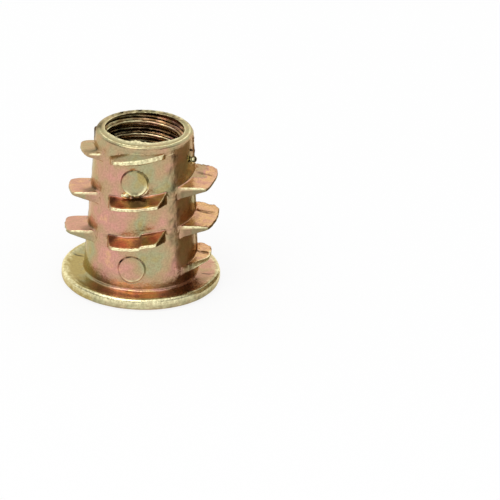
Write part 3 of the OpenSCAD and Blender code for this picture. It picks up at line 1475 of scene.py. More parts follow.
@dataclass(frozen=True)
class Passivation:
    """Where the passivated film runs pink, gold or green, and where painted shade darkens it."""

    # Patches on the skin, pink above nothing and green below it.
    stains: tuple[Stain, ...] = (
        Stain(-40, 12.0, 2.6, 0.7),
        Stain(-13, 12.3, 1.6, 0.7),
        Stain(-24, 8.0, 3.4, 0.9),
        Stain(-62, 8.0, 3.0, 0.6),
        Stain(-28, 3.2, 2.6, 1.2),
        Stain(42, 2.6, 1.8, 0.9),
        Stain(-5, 3.0, 1.5, 0.4),
        Stain(27, 7.8, 1.8, 0.5),
        Stain(6, 13.4, 2.2, -0.7),
        Stain(12, 12.3, 1.2, -0.8),
        Stain(32, 11.0, 1.5, -0.9),
        Stain(20, 10.2, 1.3, -0.7),
        Stain(2, 7.3, 1.4, -0.9),
        Stain(20, 4.0, 2.2, -1.2),
        Stain(-78, 3.0, 4.0, -1.2),
        Stain(-52, 2.4, 1.1, 0.9),
        Stain(-3, 11.48, 1.35, -0.75, flat=1.15),
        Stain(-84, 11.6, 2.4, -0.6),
        Stain(10, 8.5, 1.6, -0.5),
        Stain(66, 12.0, 2.4, -0.9),
        Stain(82, 8.3, 1.5, -0.8),
    )
    # Dark lines across the dish along the parting lines, and painted shadows: under the upper pin mark,
    # on both sides of the dish and at the roots of the left fins.
    parting_turns: tuple[float, ...] = (86.0, -103.0)
    shadow_spots: tuple[Stain, ...] = (
        Stain(0, 10.3, 0.5, 2.4, stretch=1.8),
        Stain(60, 0.96, 3.4, 0.5),
        Stain(-42, 0.96, 2.4, 0.28),
        Stain(-66, 13.5, 0.35, 1.2, stretch=3.0),
        Stain(-66, 9.75, 0.5, 1.5, stretch=3.0),
        Stain(-66, 5.9, 0.45, 1.5, stretch=3.0),
    )
    barrel: Barrel = Barrel()
    # Places on the casting.
    flange_z: float = 1.2
    dish_z: tuple[float, float] = (0.5, 1.2)
    dish_r: tuple[float, float] = (5.4, 6.8)
    socket_z: float = 7.1
    socket_r: float = 4.7
    bore_z: tuple[float, float] = (8.0, 14.9)
    bore_r: float = 4.1
    rim_z: float = 14.86
    neck_z: tuple[float, float] = (13.2, 14.62)
    neck_r: tuple[float, float] = (4.4, 5.6)
    skin_z: tuple[float, float] = (1.2, 14.5)
    skin_r: tuple[float, float] = (4.2, 5.5)
    trough_r: tuple[float, float] = (5.0, 6.9)
    lower_trough_z: tuple[float, float] = (5.7, 6.7)
    upper_trough_z: tuple[float, float] = (9.6, 10.6)
    fin_r: float = 5.8
    flange_side_r: tuple[float, float] = (6.8, 7.1)
    front_half: float = 40.0
    right_turns: tuple[float, float] = (45.0, 135.0)
    facing_up: tuple[float, float] = (0.3, 0.8)
    neck_from_z: float = 11.0
    dish_inner_r: tuple[float, float] = (5.6, 5.9)
    dish_outer_r: tuple[float, float] = (6.4, 6.8)
    ledge_z: tuple[float, float] = (9.7, 10.6)
    ledge_r: tuple[float, float] = (5.0, 6.75)
    root_r: tuple[float, float] = (5.6, 6.2)
    # Colours of the film there.
    clouds: Uneven = Uneven(0.0, Lump(2.4, 0.35, 21.0), Lump(0.8, 0.35, 23.0))
    stain_share: float = 0.7
    skin_most: float = 0.75
    socket_tint: float = 0.6
    dish_tint: float = 0.35
    flange_side_drop: float = 0.7
    rim_tint: float = -0.35
    bore_tint: float = 0.25
    bore_swing: float = 1.0
    bore_turn: float = 15.0
    under_fin_tint: float = -0.3
    top_fin_tint: float = 0.7
    right_fin_tint: float = 0.95
    fin_cloud_share: float = 0.25
    fin_red: float = 0.65
    fin_red_r: tuple[float, float] = (5.3, 5.6)
    dish_pink: Streak = Streak(9.0, 28.0, 0.55)
    flange_green: Streak = Streak(-85.0, 75.0, 1.4)
    bore_crimson: Streak = Streak(158.0, 20.0, 0.8)
    fin_reds: tuple[Streak, ...] = (Streak(-11.0, 14.0), Streak(17.0, 12.0))
    # Darkening there: mostly painted shade, with dark lines along the parting lines.
    patches: Uneven = Uneven(0.3, Lump(0.7, 1.0, 41.0), Lump(0.22, 0.7, 42.0))
    darkest: float = 0.9
    shadow_spot_level: float = 0.6
    shadow_spot_patches: float = 0.5
    # Painted shade in the hex socket, darker further in.
    socket_dark: float = 0.25
    socket_deep_dark: float = 0.3
    socket_mouth_z: tuple[float, float] = (0.1, 2.0)
    front: Streak = Streak(0.0, 40.0)
    parting_dark: float = 0.9
    parting_width: float = 0.16
    # Painted shade at the front of the flange's dish.
    dish_front: Streak = Streak(-6.0, 10.0, 0.4)
    # Painted shade at the back of the bore, and patchy painted shade inside it.
    bore_back: Streak = Streak(175.0, 13.0, 0.4)
    bore_shade: float = 0.12
    # Darker on the left of the open end.
    rim_left: Streak = Streak(-90.0, 20.0, 0.8)
    rim_left_z: tuple[float, float] = (13.5, 13.9)
    # Painted shade round the neck that dims the highlight of the top fin's fillet.
    neck_shade: float = 0.2
    neck_lift: tuple[float, float] = (0.02, 0.1)
    neck_line: tuple[float, float] = (0.03, 0.06)
    neck_line_z: tuple[float, float] = (14.2, 14.4)
    # Painted shadow of the upper pin mark on the fin below it, and painted shade in the troughs of the
    # lower front fins, darkest at their left ends.
    ledge_dark: float = 0.2
    ledge_middle: Streak = Streak(2.0, 18.0, 0.7)
    trough_dark: float = 0.1
    trough_middle: Streak = Streak(5.0, 9.0, 0.3)
    trough_left: float = 0.7
    left_turns: tuple[float, float] = (-15.0, -25.0)
    # A painted reflection of a dark band to the right of the front, and painted shade further round
    # below the upper fins.
    skin_reflected_band: Streak = Streak(43.0, 12.0, 0.85)
    reflected_band_start_z: tuple[float, float] = (2.0, 4.0)
    reflected_band_full_z: tuple[float, float] = (4.5, 7.5)
    skin_right: Streak = Streak(75.0, 25.0, 0.25)
    skin_right_z: tuple[float, float] = (11.5, 8.0)

    def paint(self, obj: bpy.types.Object) -> None:
        """Stores the tint of every vertex of a finished piece and darkens it with painted shade and the
        dark parting lines.

        Args:
            obj: The piece, whose vertices already hold their worn brightness, painted highlights and
                painted shade.
        """
        layer = obj.data.attributes.new("tint", "FLOAT", "POINT")
        wear_and_painted_light = obj.data.attributes["wear_and_painted_light"]
        shade_and_dirt = [0.0] * len(obj.data.vertices)
        wear_and_painted_light.data.foreach_get("value", shade_and_dirt)
        tints = []
        for i, v in enumerate(obj.data.vertices):
            p = v.co / MM
            tints.append(self.tint(p, v.normal.z))
            shade_and_dirt[i] -= self.shade_and_soot(p)
        layer.data.foreach_set("value", tints)
        wear_and_painted_light.data.foreach_set("value", shade_and_dirt)

    def tint(self, p: Vector, upward: float) -> float:
        """Tint of the film at a point: olive at -1, gold at 0, orange at 1, crimson at 1.5.

        Args:
            p: The point.
            upward: Upward part of the surface's normal there.

        Returns:
            The tint.
        """
        turn, r = turn_of(p), math.hypot(p.x, p.y)
        tint = self.clouds.at(p)
        if p.z < self.flange_z:
            side = ease(*self.flange_side_r, r) * ease(0.0, 0.2, p.z)
            if p.z > self.dish_z[0] and r < self.dish_r[1]:
                tint += self.dish_pink.at(turn)
            tint = tint * (1.0 - 0.5 * side) + self.dish_tint - self.flange_side_drop * side
            return tint - self.flange_green.at(turn)
        if p.z < self.socket_z and r < self.socket_r:
            return tint + self.socket_tint
        if r < self.bore_r and p.z < self.rim_z:
            swing = self.bore_swing * math.sin(math.radians(turn + self.bore_turn))
            return tint + self.bore_crimson.at(turn) + self.bore_tint + swing
        if p.z > self.rim_z:
            return 0.5 * tint + self.rim_tint
        tint += self.stain_share * sum(stain.at(p) for stain in self.stains)
        if r < self.fin_r and (upward < 0.5 or p.z > self.neck_from_z):
            return min(tint, self.skin_most)
        return self.fin_tint(tint, turn, r, ease(*self.facing_up, upward))

    def fin_tint(self, tint: float, turn: float, r: float, upward: float) -> float:
        """Tint of the film on the fins, pinkest on their upper flanks.

        Args:
            tint: Tint that the skin would have there.
            turn: Turn round the bore.
            r: Distance from the bore's axis.
            upward: How far the surface faces up, from 0 to 1.

        Returns:
            The tint.
        """
        if abs(turn_gap(turn, 0.0)) < self.front_half:
            red = sum(streak.at(turn) for streak in self.fin_reds)
            return (self.top_fin_tint + self.fin_red * red * ease(*self.fin_red_r, r)) * upward
        top = self.right_fin_tint if within(turn, self.right_turns) else self.top_fin_tint
        under = self.fin_cloud_share * tint + self.under_fin_tint
        return under + (top - self.under_fin_tint) * upward

    def shade_and_soot(self, p: Vector) -> float:
        """How dark painted shade and the dark parting lines make the film at a point.

        Args:
            p: The point.

        Returns:
            The darkness, from 0 to nearly 1.
        """
        turn, r = turn_of(p), math.hypot(p.x, p.y)
        patchy = max(self.patches.at(p), 0.0)
        shade_and_soot = self.flange_shade(p.z, r, turn, patchy) + self.open_end_shade(p.z, r, turn, patchy)
        shade_and_soot += self.trough_shade(p.z, r, turn) + self.skin_shade(p.z, r, turn, patchy)
        # Painted shadows of the shadow spots, kept off the fins' outer parts above the flange.
        near = 1.0 - ease(*self.root_r, r) if p.z > self.flange_z else 1.0
        for root in self.shadow_spots:
            shade_and_soot += near * root.at(p) * (self.shadow_spot_level + self.shadow_spot_patches * patchy)
        if self.socket_mouth_z[0] < p.z < self.socket_z and r < self.socket_r:
            shade_and_soot += self.socket_dark + self.socket_deep_dark * ease(*self.socket_mouth_z, p.z)
        return min(shade_and_soot, self.darkest)

    def flange_shade(self, z: float, r: float, turn: float, patchy: float) -> float:
        """Painted shade at the front of the flange's dish, and dark lines along the parting lines.

        Args:
            z: Height of the point.
            r: Its distance from the bore's axis.
            turn: Its turn round the bore.
            patchy: Patchiness of the soot there.

        Returns:
            The darkness.
        """
        if not (within(z, self.dish_z) and within(r, self.dish_r)):
            return 0.0
        shade_and_soot = self.dish_front.at(turn) * (0.4 + 0.6 * patchy)
        across = ease(*self.dish_inner_r, r) * (1.0 - ease(*self.dish_outer_r, r))
        for mark in self.parting_turns:
            line = bump(math.radians(turn_gap(turn, mark)) * r, 0.0, self.parting_width)
            shade_and_soot += self.parting_dark * line * across
        return shade_and_soot

    def open_end_shade(self, z: float, r: float, turn: float, patchy: float) -> float:
        """Painted shade in the bore, darkest at its back, darkening on the left of the rim, and painted
        shade round the neck below the rim that dims the top fin's highlight.

        Args:
            z: Height of the point.
            r: Its distance from the bore's axis.
            turn: Its turn round the bore.
            patchy: Patchiness of the soot there.

        Returns:
            The darkness.
        """
        shade_and_soot = 0.0
        if within(z, self.bore_z) and r < self.bore_r:
            shade_and_soot += self.bore_shade * patchy + self.bore_back.at(turn)
        if r > 4.0:
            shade_and_soot += self.rim_left.at(turn) * ease(*self.rim_left_z, z)
        if within(z, self.neck_z) and within(r, self.neck_r):
            front = self.front.at(turn)
            off_skin = r - self.barrel.radius(z)
            shade_and_soot += self.neck_shade * min(2.0 * front, 1.0) * ease(*self.neck_lift, off_skin)
            line = bump(off_skin, *self.neck_line) * ease(*self.neck_line_z, z)
            shade_and_soot += self.neck_shade * front * line
        return shade_and_soot

    def trough_shade(self, z: float, r: float, turn: float) -> float:
        """Painted shade on the two lower front fins where they meet the barrel, with the upper pin
        mark's painted shadow on the fin below it.

        Args:
            z: Height of the point.
            r: Its distance from the bore's axis.
            turn: Its turn round the bore.

        Returns:
            The darkness.
        """
        front = self.front.at(turn)
        shade_and_soot = 0.0
        if within(z, self.ledge_z) and within(r, self.ledge_r):
            shade_and_soot += front * (self.ledge_dark + self.ledge_middle.at(turn))
        in_trough = within(z, self.lower_trough_z) or within(z, self.upper_trough_z)
        if in_trough and within(r, self.trough_r):
            left = ease(*self.left_turns, turn_gap(turn, 0.0))
            shade_and_soot += self.trough_left * left * min(2.0 * front, 1.0)
            shade_and_soot += self.trough_dark + self.trough_middle.at(turn)
        return shade_and_soot

    def skin_shade(self, z: float, r: float, turn: float, patchy: float) -> float:
        """Painted shade on the barrel's skin to the right of the front: a painted reflection of a dark
        band, and painted shade further round, low down.

        Args:
            z: Height of the point.
            r: Its distance from the bore's axis.
            turn: Its turn round the bore.
            patchy: Patchiness of the soot there.

        Returns:
            The darkness.
        """
        if not (within(z, self.skin_z) and within(r, self.skin_r)):
            return 0.0
        reflected_band = ease(*self.reflected_band_start_z, z) * (0.6 + 0.4 * ease(*self.reflected_band_full_z, z))
        low = ease(*self.skin_right_z, z)
        return (self.skin_reflected_band.at(turn) * reflected_band + self.skin_right.at(turn) * low) * patchy


@dataclass(frozen=True)
class Bead:
    """Small drop of metal that froze on the casting."""

    turn: float
    radius: float
    z: float
    size: float
    stretch: float = 1.0
    pit: float = 0.0
    # bright is a drop's painted brightness: a highlight above nothing and shade below it.
    bright: float = 0.0
    lumps: ClassVar[Lump] = Lump(0.7, 0.18, 31.0)
    # The pit opens to the left of the drop and upward.
    pit_turn: ClassVar[float] = -50.0
    pit_out: ClassVar[float] = 0.9
    pit_up: ClassVar[float] = 0.43
    pit_facing: ClassVar[tuple[float, float]] = (0.55, 0.9)
    # Painted highlights and painted shade of a pitted drop, by how far a place faces the way the pit
    # opens.
    glints: ClassVar[Stops] = [
        (0.1, -0.9),
        (0.3, 1.0),
        (0.5, 1.0),
        (0.6, -1.0),
        (0.86, -1.0),
        (0.93, 1.2),
    ]

    def build(self, name: str) -> bpy.types.Object:
        """Builds the drop, with a pit in its outer side if it has one.

        Args:
            name: Name of the piece.

        Returns:
            The drop as a closed piece.
        """
        bm = bmesh.new()
        bmesh.ops.create_icosphere(bm, subdivisions=4, radius=self.size)
        wear_and_painted_light = bm.verts.layers.float.new("wear_and_painted_light")
        out = turned(self.pit_out, self.turn + self.pit_turn, self.pit_up)
        side = turned(1.0, self.turn + 90.0, 0.0)
        place = turned(self.radius, self.turn, self.z)
        for v in bm.verts:
            aim = v.co.normalized()
            v.co *= 1.0 + self.lumps.at(aim + place)
            v.co += side * v.co.dot(side) * (self.stretch - 1.0)
            facing = aim.dot(out)
            v.co -= out * self.pit * self.size * ease(*self.pit_facing, facing)
            v[wear_and_painted_light] = table(facing, self.glints if self.pit else [(-1.0, self.bright)])
            v.co += place
        return finish_mesh(bm, name)


@dataclass(frozen=True)
class Flash:
    """Drops and burrs that the mould left on the casting."""

    beads: tuple[Bead, ...] = (
        Bead(75, 4.84, 12.85, 0.34, pit=0.9),
        Bead(78, 4.58, 13.6, 0.11, bright=-0.9),
        Bead(80, 4.66, 12.3, 0.14, bright=1.0),
        Bead(-12.5, 4.92, 10.3, 0.29, stretch=1.35, bright=1.1),
        Bead(281, 7.0, 5.10, 0.14),
        Bead(276, 7.05, 5.22, 0.11),
        Bead(286, 6.95, 5.02, 0.12, stretch=1.4),
    )

    def build(self) -> list[bpy.types.Object]:
        """Builds every drop."""
        return [bead.build(f"bead_{i + 1}") for i, bead in enumerate(self.beads)]


# -------------------------------------------------------------------------- finishes


def srgb(red: int, green: int, blue: int) -> tuple[float, float, float, float]:
    """Linear colour of an 8-bit display colour.

    Args:
        red: Red, from 0 to 255.
        green: Green.
        blue: Blue.

    Returns:
        The colour with full cover.
    """

    def linear(c: int) -> float:
        """Linear value of one channel."""
        x = c / 255.0
        return x / 12.92 if x <= 0.04045 else ((x + 0.055) / 1.055) ** 2.4

    return linear(red), linear(green), linear(blue), 1.0


class Graph:
    """Node tree that is filled by adding and joining nodes."""

    def __init__(self, tree: bpy.types.NodeTree) -> None:
        """Takes the tree that is to be filled."""
        self.tree = tree

    def add(self, kind: str, **values: object) -> bpy.types.Node:
        """Adds a node and sets its inputs.

        Args:
            kind: Class name of the node.
            **values: Values of inputs by name, with underscores for spaces, or
                properties of the node.

        Returns:
            The node.
        """
        node = self.tree.nodes.new(kind)
        for key, value in values.items():
            if hasattr(node, key):
                setattr(node, key, value)
        for key, value in values.items():
            if not hasattr(node, key):
                node.inputs[key.replace("_", " ")].default_value = value
        return node

    def join(self, source: bpy.types.NodeSocket, target: bpy.types.NodeSocket) -> None:
        """Links an output to an input."""
        self.tree.links.new(source, target)

    def combine(self, operation: str, *terms: bpy.types.NodeSocket | float) -> bpy.types.NodeSocket:
        """Works out a value from one or two others.

        Args:
            operation: Name of the operation.
            *terms: Outputs or plain numbers.

        Returns:
            The value.
        """
        node = self.add("ShaderNodeMath", operation=operation)
        for term, target in zip(terms, node.inputs):
            if isinstance(term, bpy.types.NodeSocket):
                self.join(term, target)
            else:
                target.default_value = term
        return node.outputs["Value"]

    def spread(
        self,
        source: bpy.types.NodeSocket,
        start: tuple[float, float],
        end: tuple[float, float] = (0.0, 1.0),
        soft: bool = False,
    ) -> bpy.types.NodeSocket:
        """Maps a value from one range to another.

        Args:
            source: The value.
            start: Range of the value.
            end: Range that it is mapped to.
            soft: Whether the change eases in and out.

        Returns:
            The mapped value.
        """
        node = self.add("ShaderNodeMapRange", From_Min=start[0], From_Max=start[1])
        if soft:
            node.interpolation_type = "SMOOTHSTEP"
        node.inputs["To Min"].default_value, node.inputs["To Max"].default_value = end
        self.join(source, node.inputs["Value"])
        return node.outputs["Result"]

    def noise(self, scale: float, detail: float, drawn: float = 1.0) -> bpy.types.NodeSocket:
        """Noise on the piece's own coordinates, about 0.5.

        Args:
            scale: Scale along the bore.
            detail: Detail of the noise.
            drawn: How far the noise is drawn out across the bore.

        Returns:
            The noise.
        """
        coords = self.add("ShaderNodeTexCoord")
        squeeze = self.add("ShaderNodeMapping", vector_type="POINT")
        squeeze.inputs["Scale"].default_value = (1.0 / drawn, 1.0 / drawn, 1.0)
        node = self.add("ShaderNodeTexNoise", Scale=scale, Detail=detail)
        self.join(coords.outputs["Object"], squeeze.inputs["Vector"])
        self.join(squeeze.outputs["Vector"], node.inputs["Vector"])
        return node.outputs["Fac"]

    def blend(
        self,
        factor: bpy.types.NodeSocket,
        under: bpy.types.NodeSocket,
        over: tuple[float, float, float, float],
    ) -> bpy.types.NodeSocket:
        """Lays a colour over another.

        Args:
            factor: Cover of the upper colour.
            under: The lower colour.
            over: The upper colour.

        Returns:
            The blended colour.
        """
        node = self.add("ShaderNodeMix", data_type="RGBA")
        node.inputs["B"].default_value = over
        self.join(factor, node.inputs["Factor"])
        self.join(under, node.inputs["A"])
        return node.outputs["Result"]

    def pick(
        self,
        factor: bpy.types.NodeSocket,
        first: bpy.types.NodeSocket,
        second: bpy.types.NodeSocket,
    ) -> bpy.types.NodeSocket:
        """Mixes two shaders.

        Args:
            factor: Share of the second shader.
            first: The first shader.
            second: The second shader.

        Returns:
            The mixed shader.
        """
        node = self.add("ShaderNodeMixShader")
        self.join(factor, node.inputs["Fac"])
        self.join(first, node.inputs[1])
        self.join(second, node.inputs[2])
        return node.outputs["Shader"]


@dataclass(frozen=True)
class Film:
    """Colours of the passivated film, with its painted highlights and painted shade, as a group that
    every finish shares.
    """

    olive: tuple[float, float, float, float] = srgb(188, 169, 108)
    green: tuple[float, float, float, float] = srgb(180, 177, 136)
    gold: tuple[float, float, float, float] = srgb(199, 168, 129)
    pink: tuple[float, float, float, float] = srgb(222, 162, 146)
    orange: tuple[float, float, float, float] = srgb(246, 198, 142)
    crimson: tuple[float, float, float, float] = srgb(226, 132, 112)
    # The bright colour stands for worn metal and for painted highlights; the dark one below it stands
    # for painted shade and soot.
    bright: tuple[float, float, float, float] = srgb(255, 246, 196)
    shade_and_soot: tuple[float, float, float, float] = srgb(34, 22, 6)
    brown: tuple[float, float, float, float] = srgb(120, 92, 58)
    mottle: float = 0.14
    mottle_scale: float = 1300.0
    dull_scale: float = 6500.0
    bright_patch_scale: float = 4500.0
    middle: tuple[float, float] = (0.3, 0.7)
    bright_patch_middle: tuple[float, float] = (0.35, 0.6)
    bright_patch_share: tuple[float, float] = (0.45, 1.25)
    tints: tuple[float, float] = (-1.0, 1.5)

    def group(self) -> bpy.types.NodeTree:
        """Builds the group, with the dulling as input and the colour as output.

        Returns:
            The group's tree.
        """
        tree = bpy.data.node_groups.new("film", "ShaderNodeTree")
        tree.interface.new_socket("Dulling", in_out="INPUT", socket_type="NodeSocketFloat")
        tree.interface.new_socket("Color", in_out="OUTPUT", socket_type="NodeSocketColor")
        graph = Graph(tree)
        given = graph.add("NodeGroupInput")
        result = graph.add("NodeGroupOutput")
        tint = graph.add("ShaderNodeAttribute", attribute_name="tint").outputs["Fac"]
        worn_and_lit = graph.add("ShaderNodeAttribute", attribute_name="wear_and_painted_light").outputs["Fac"]
        clouds = graph.noise(self.mottle_scale, 2.0)
        mottle = graph.spread(clouds, self.middle, (-self.mottle, self.mottle))
        ramp = graph.add("ShaderNodeValToRGB")
        stops = ramp.color_ramp.elements
        stops[0].position, stops[0].color = 0.03, self.olive
        stops[1].position, stops[1].color = 1.0, self.crimson
        middle = ((0.19, self.green), (0.4, self.gold), (0.67, self.pink), (0.8, self.orange))
        for place, colour in middle:
            stops.new(place).color = colour
        graph.join(graph.spread(graph.combine("ADD", tint, mottle), self.tints), ramp.inputs["Fac"])
        shade = graph.spread(graph.noise(self.dull_scale, 2.0), self.middle)
        dull = graph.combine("MULTIPLY", shade, given.outputs["Dulling"])
        colour = graph.blend(dull, ramp.outputs["Color"], self.brown)
        # Positive values of the vertex attribute blend in patches towards the bright colour as worn
        # metal and painted highlight; negative values blend towards the dark colour as painted shade
        # and soot.
        patchy = graph.spread(graph.noise(self.bright_patch_scale, 2.0), self.bright_patch_middle, self.bright_patch_share)
        rubbed_and_lit = graph.spread(graph.combine("MULTIPLY", worn_and_lit, patchy), (0.0, 1.0))
        colour = graph.blend(rubbed_and_lit, colour, self.bright)
        colour = graph.blend(graph.spread(worn_and_lit, (0.0, -1.0)), colour, self.shade_and_soot)
        graph.join(colour, result.inputs["Color"])
        return tree


@dataclass(frozen=True)
class Grain:
    """Fine unevenness of the metal, as a group that every finish shares."""

    depth: float = 0.00004
    scale: float = 3500.0

    def group(self) -> bpy.types.NodeTree:
        """Builds the group, with the relief as input and the normal as output.

        Returns:
            The group's tree.
        """
        tree = bpy.data.node_groups.new("grain", "ShaderNodeTree")
        tree.interface.new_socket("Relief", in_out="INPUT", socket_type="NodeSocketFloat")
        tree.interface.new_socket("Normal", in_out="OUTPUT", socket_type="NodeSocketVector")
        graph = Graph(tree)
        given = graph.add("NodeGroupInput")
        result = graph.add("NodeGroupOutput")
        bump_map = graph.add("ShaderNodeBump", Distance=self.depth)
        graph.join(given.outputs["Relief"], bump_map.inputs["Strength"])
        graph.join(graph.noise(self.scale, 3.0), bump_map.inputs["Height"])
        graph.join(bump_map.outputs["Normal"], result.inputs["Normal"])
        return tree


@dataclass(frozen=True)
class PassivatedZinc:
    """Yellow passivation over a zinc casting, faintly iridescent."""

    name: str
    roughness: float
    relief: float
    dulling: float
    lines: float = 0.0
    line_scale: float = 9000.0
    line_length: float = 12.0
    grazing: tuple[float, float, float, float] = (0.95, 0.86, 0.68, 1.0)

    def material(self, film: bpy.types.NodeTree, grain: bpy.types.NodeTree) -> bpy.types.Material:
        """Builds the material.

        Args:
            film: Group that gives the film's colour.
            grain: Group that gives the metal's normal.

        Returns:
            The material.
        """
        mat = bpy.data.materials.new(self.name)
        mat.use_nodes = True
        graph = Graph(mat.node_tree)
        shader = mat.node_tree.nodes["Principled BSDF"]
        shader.inputs["Metallic"].default_value = 1.0
        shader.inputs["Roughness"].default_value = self.roughness
        shader.inputs["Specular Tint"].default_value = self.grazing
        colour = graph.add("ShaderNodeGroup", node_tree=film)
        colour.inputs["Dulling"].default_value = self.dulling
        shown = colour.outputs["Color"]
        if self.lines:
            streaks = graph.noise(self.line_scale, 1.0, drawn=self.line_length)
            cover = graph.spread(streaks, (0.42, 0.62), (0.0, self.lines))
            shown = graph.blend(cover, shown, Film().brown)
        graph.join(shown, shader.inputs["Base Color"])
        relief = graph.add("ShaderNodeGroup", node_tree=grain)
        relief.inputs["Relief"].default_value = self.relief
        graph.join(relief.outputs["Normal"], shader.inputs["Normal"])
        return mat


# ---------------------------------------------------------------------------- studio


@dataclass(frozen=True)
class Studio:
    """Pale floor, soft light and the camera, in metres."""

    # Camera.
    azimuth: float = 5.0
    elevation: float = 25.49
    roll: float = 2.213
    distance: float = 0.4
    focal_px: float = 4342.4
    aim_px: tuple[float, float] = (142.493, 207.726)
    aim_z: float = 0.007
    image_px: float = 500.0
    sensor: float = 36.0
    # Floor.
    floor_half: float = 1.5
    floor_gap: float = 0.00006
    floor_grey: tuple[float, float, float] = (0.85, 0.85, 0.85)
    floor_rough: float = 0.8
    white_share: float = 0.85
    # Brown card.
    flag_x: float = 0.010
    flag_y: tuple[float, float] = (-0.0047, 0.006)
    flag_h: float = 0.013
    flag_tan: tuple[float, float, float] = (0.36, 0.27, 0.15)
    # Key lamp.
    key_place: tuple[float, float, float] = (-0.14, -0.22, 0.48)
    key_size: float = 0.40
    key_power: float = 0.8
    # Tent that the casting mirrors: where it turns bright, by the way a ray runs.
    dark_level: float = 0.35
    fill_level: float = 0.95
    sky_overhead: tuple[float, float] = (0.60, 0.85)
    sky_behind: tuple[float, float] = (-0.15, 0.45)
    sky_low: tuple[float, float] = (0.32, 0.10)
    window_inner: tuple[float, float] = (0.18, 0.30)
    window_outer: tuple[float, float] = (0.62, 0.48)
    window_front: tuple[float, float] = (-0.3, -0.5)

    def camera(self) -> None:
        """Sets the camera so that the aim point falls on its own pixel."""
        a, e = math.radians(self.azimuth), math.radians(self.elevation)
        back = Vector((math.sin(a) * math.cos(e), -math.cos(a) * math.cos(e), math.sin(e)))
        right = Vector((math.cos(a), math.sin(a), 0.0))
        up = back.cross(right)
        r = math.radians(self.roll)
        x_axis = right * math.cos(r) + up * math.sin(r)
        y_axis = up * math.cos(r) - right * math.sin(r)
        half = self.image_px / 2
        dx = (self.aim_px[0] - half) / self.focal_px * self.distance
        dy = -(self.aim_px[1] - half) / self.focal_px * self.distance
        place = Vector((0, 0, self.aim_z)) - x_axis * dx - y_axis * dy + back * self.distance
        data = bpy.data.cameras.new("camera")
        data.sensor_width = self.sensor
        data.lens = self.focal_px * self.sensor / self.image_px
        data.clip_start = 0.01
        data.clip_end = 20.0
        camera = bpy.data.objects.new("camera", data)
        turned_to = Matrix((x_axis, y_axis, back)).transposed().to_4x4()
        camera.matrix_world = Matrix.Translation(place) @ turned_to
        bpy.context.scene.collection.objects.link(camera)
        bpy.context.scene.camera = camera

    def floor(self) -> None:
        """Lays the pale floor, white with the part's shadow and clear from below."""
        bm = bmesh.new()
        bmesh.ops.create_grid(bm, x_segments=1, y_segments=1, size=self.floor_half)
        bmesh.ops.translate(bm, vec=(0, 0, -self.floor_gap), verts=bm.verts)
        floor = self.stand_in("floor", bm)
        mat = bpy.data.materials.new("floor_paper")
        mat.use_nodes = True
        graph = Graph(mat.node_tree)
        nodes = mat.node_tree.nodes
        paper = nodes["Principled BSDF"]
        paper.inputs["Base Color"].default_value = (*self.floor_grey, 1)
        paper.inputs["Roughness"].default_value = self.floor_rough
        white = graph.add("ShaderNodeEmission").outputs["Emission"]
        clear = graph.add("ShaderNodeBsdfTransparent").outputs["BSDF"]
        below = graph.add("ShaderNodeNewGeometry").outputs["Backfacing"]
        path = graph.add("ShaderNodeLightPath")
        seen = graph.combine("MAXIMUM", path.outputs["Is Camera Ray"], path.outputs["Is Glossy Ray"])
        share = graph.combine("MULTIPLY", seen, self.white_share)
        lit = graph.pick(share, paper.outputs["BSDF"], white)
        one_way = graph.pick(below, lit, clear)
        graph.join(one_way, nodes["Material Output"].inputs["Surface"])
        floor.data.materials.append(mat)

    def flag(self) -> None:
        """Stands a brown card to the right, which the casting mirrors as a dark band."""
        bm = bmesh.new()
        bmesh.ops.create_grid(bm, x_segments=1, y_segments=1, size=0.5)
        low, high = self.flag_y
        bmesh.ops.scale(bm, vec=(self.flag_h, high - low, 1.0), verts=bm.verts)
        bmesh.ops.rotate(bm, matrix=Matrix.Rotation(math.pi / 2, 3, "Y"), verts=bm.verts)
        middle = (self.flag_x, (low + high) / 2, self.flag_h / 2)
        bmesh.ops.translate(bm, vec=middle, verts=bm.verts)
        flag = self.stand_in("flag", bm)
        for ray in ("visible_camera", "visible_diffuse", "visible_shadow"):
            setattr(flag, ray, False)
        mat = bpy.data.materials.new("brown_card")
        mat.use_nodes = True
        shader = mat.node_tree.nodes["Principled BSDF"]
        shader.inputs["Base Color"].default_value = (*self.flag_tan, 1)
        shader.inputs["Roughness"].default_value = 1.0
        flag.data.materials.append(mat)

    @staticmethod
    def stand_in(name: str, bm: bmesh.types.BMesh) -> bpy.types.Object:
        """Makes a staged object, no part of the insert, out of a mesh.

        Args:
            name: Name of the object.
            bm: The mesh in metres, which is freed.

        Returns:
            The staged object.
        """
        mesh = bpy.data.meshes.new(name)
        bm.to_mesh(mesh)
        bm.free()
        obj = bpy.data.objects.new(name, mesh)
        bpy.context.scene.collection.objects.link(obj)
        return obj

    def lamp(self) -> None:
        """Hangs the square soft key lamp, which faces the part."""
        data = bpy.data.lights.new("key_lamp", "AREA")
        data.size = self.key_size
        data.energy = self.key_power
        lamp = bpy.data.objects.new("key_lamp", data)
        lamp.location = self.key_place
        aim = Vector((0, 0, self.aim_z)) - Vector(self.key_place)
        lamp.rotation_euler = aim.to_track_quat("-Z", "Y").to_euler()
        bpy.context.scene.collection.objects.link(lamp)

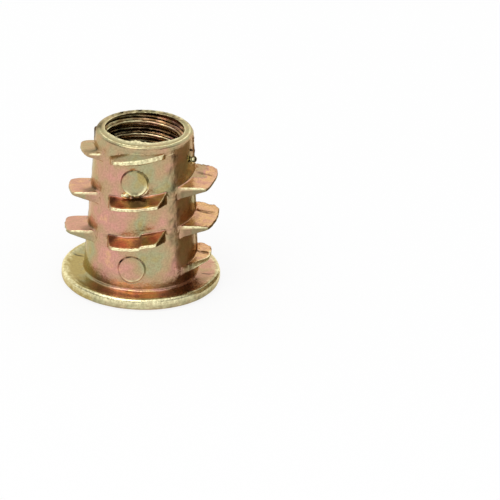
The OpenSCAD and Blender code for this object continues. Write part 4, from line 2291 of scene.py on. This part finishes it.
    def tent(self) -> None:
        """Sets the world: plain white light, and a tent with two windows in mirrors."""
        world = bpy.data.worlds.new("studio")
        bpy.context.scene.world = world
        world.use_nodes = True
        graph = Graph(world.node_tree)
        back = world.node_tree.nodes["Background"]
        back.inputs["Color"].default_value = (1, 1, 1, 1)
        coords = graph.add("ShaderNodeTexCoord")
        way = graph.add("ShaderNodeSeparateXYZ")
        graph.join(coords.outputs["Generated"], way.inputs["Vector"])
        across, along, up = (way.outputs[axis] for axis in "XYZ")
        sky = graph.spread(up, self.sky_overhead, soft=True)
        for source, span in ((along, self.sky_behind), (up, self.sky_low)):
            sky = graph.combine("MAXIMUM", sky, graph.spread(source, span, soft=True))
        aside = graph.combine("ABSOLUTE", across)
        window = graph.spread(aside, self.window_inner, soft=True)
        for source, span in ((aside, self.window_outer), (along, self.window_front)):
            window = graph.combine("MULTIPLY", window, graph.spread(source, span, soft=True))
        bright = graph.combine("MAXIMUM", sky, window)
        room = graph.spread(bright, (0.0, 1.0), (self.dark_level, 1.0))
        path = graph.add("ShaderNodeLightPath")
        mirrored = graph.add("ShaderNodeMix", A=self.fill_level)
        graph.join(path.outputs["Is Glossy Ray"], mirrored.inputs["Factor"])
        graph.join(room, mirrored.inputs["B"])
        level = graph.add("ShaderNodeMix", B=1.0)
        graph.join(path.outputs["Is Camera Ray"], level.inputs["Factor"])
        graph.join(mirrored.outputs["Result"], level.inputs["A"])
        graph.join(level.outputs["Result"], back.inputs["Strength"])
        bpy.context.scene.view_settings.view_transform = "Standard"


def main() -> None:
    """Builds the pieces, dresses them and sets the studio."""
    logging.basicConfig(level=logging.INFO, format="%(name)s: %(message)s")
    film, grain = Film().group(), Grain().group()
    cast_zinc = PassivatedZinc("cast_zinc", roughness=0.24, relief=0.5, dulling=0.3)
    cut_zinc = PassivatedZinc("cut_zinc", roughness=0.18, relief=0.4, dulling=0.3, lines=0.85)
    cast_face, cut_face = cast_zinc.material(film, grain), cut_zinc.material(film, grain)
    casting = Casting().build()
    thread = MachineThread().build()
    pieces = [(casting, cast_face), (thread, cut_face)]
    pieces += [(bead, cast_face) for bead in Flash().build()]
    for piece, finish in pieces:
        piece.data.materials.append(finish)
        Passivation().paint(piece)
        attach(piece, "root")
        log.info("%s: %d faces", piece.name, len(piece.data.polygons))
    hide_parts("threaded_insert")
    studio = Studio()
    studio.floor()
    studio.flag()
    studio.lamp()
    studio.tent()
    studio.camera()
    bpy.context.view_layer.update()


if __name__ == "__main__":
    main()
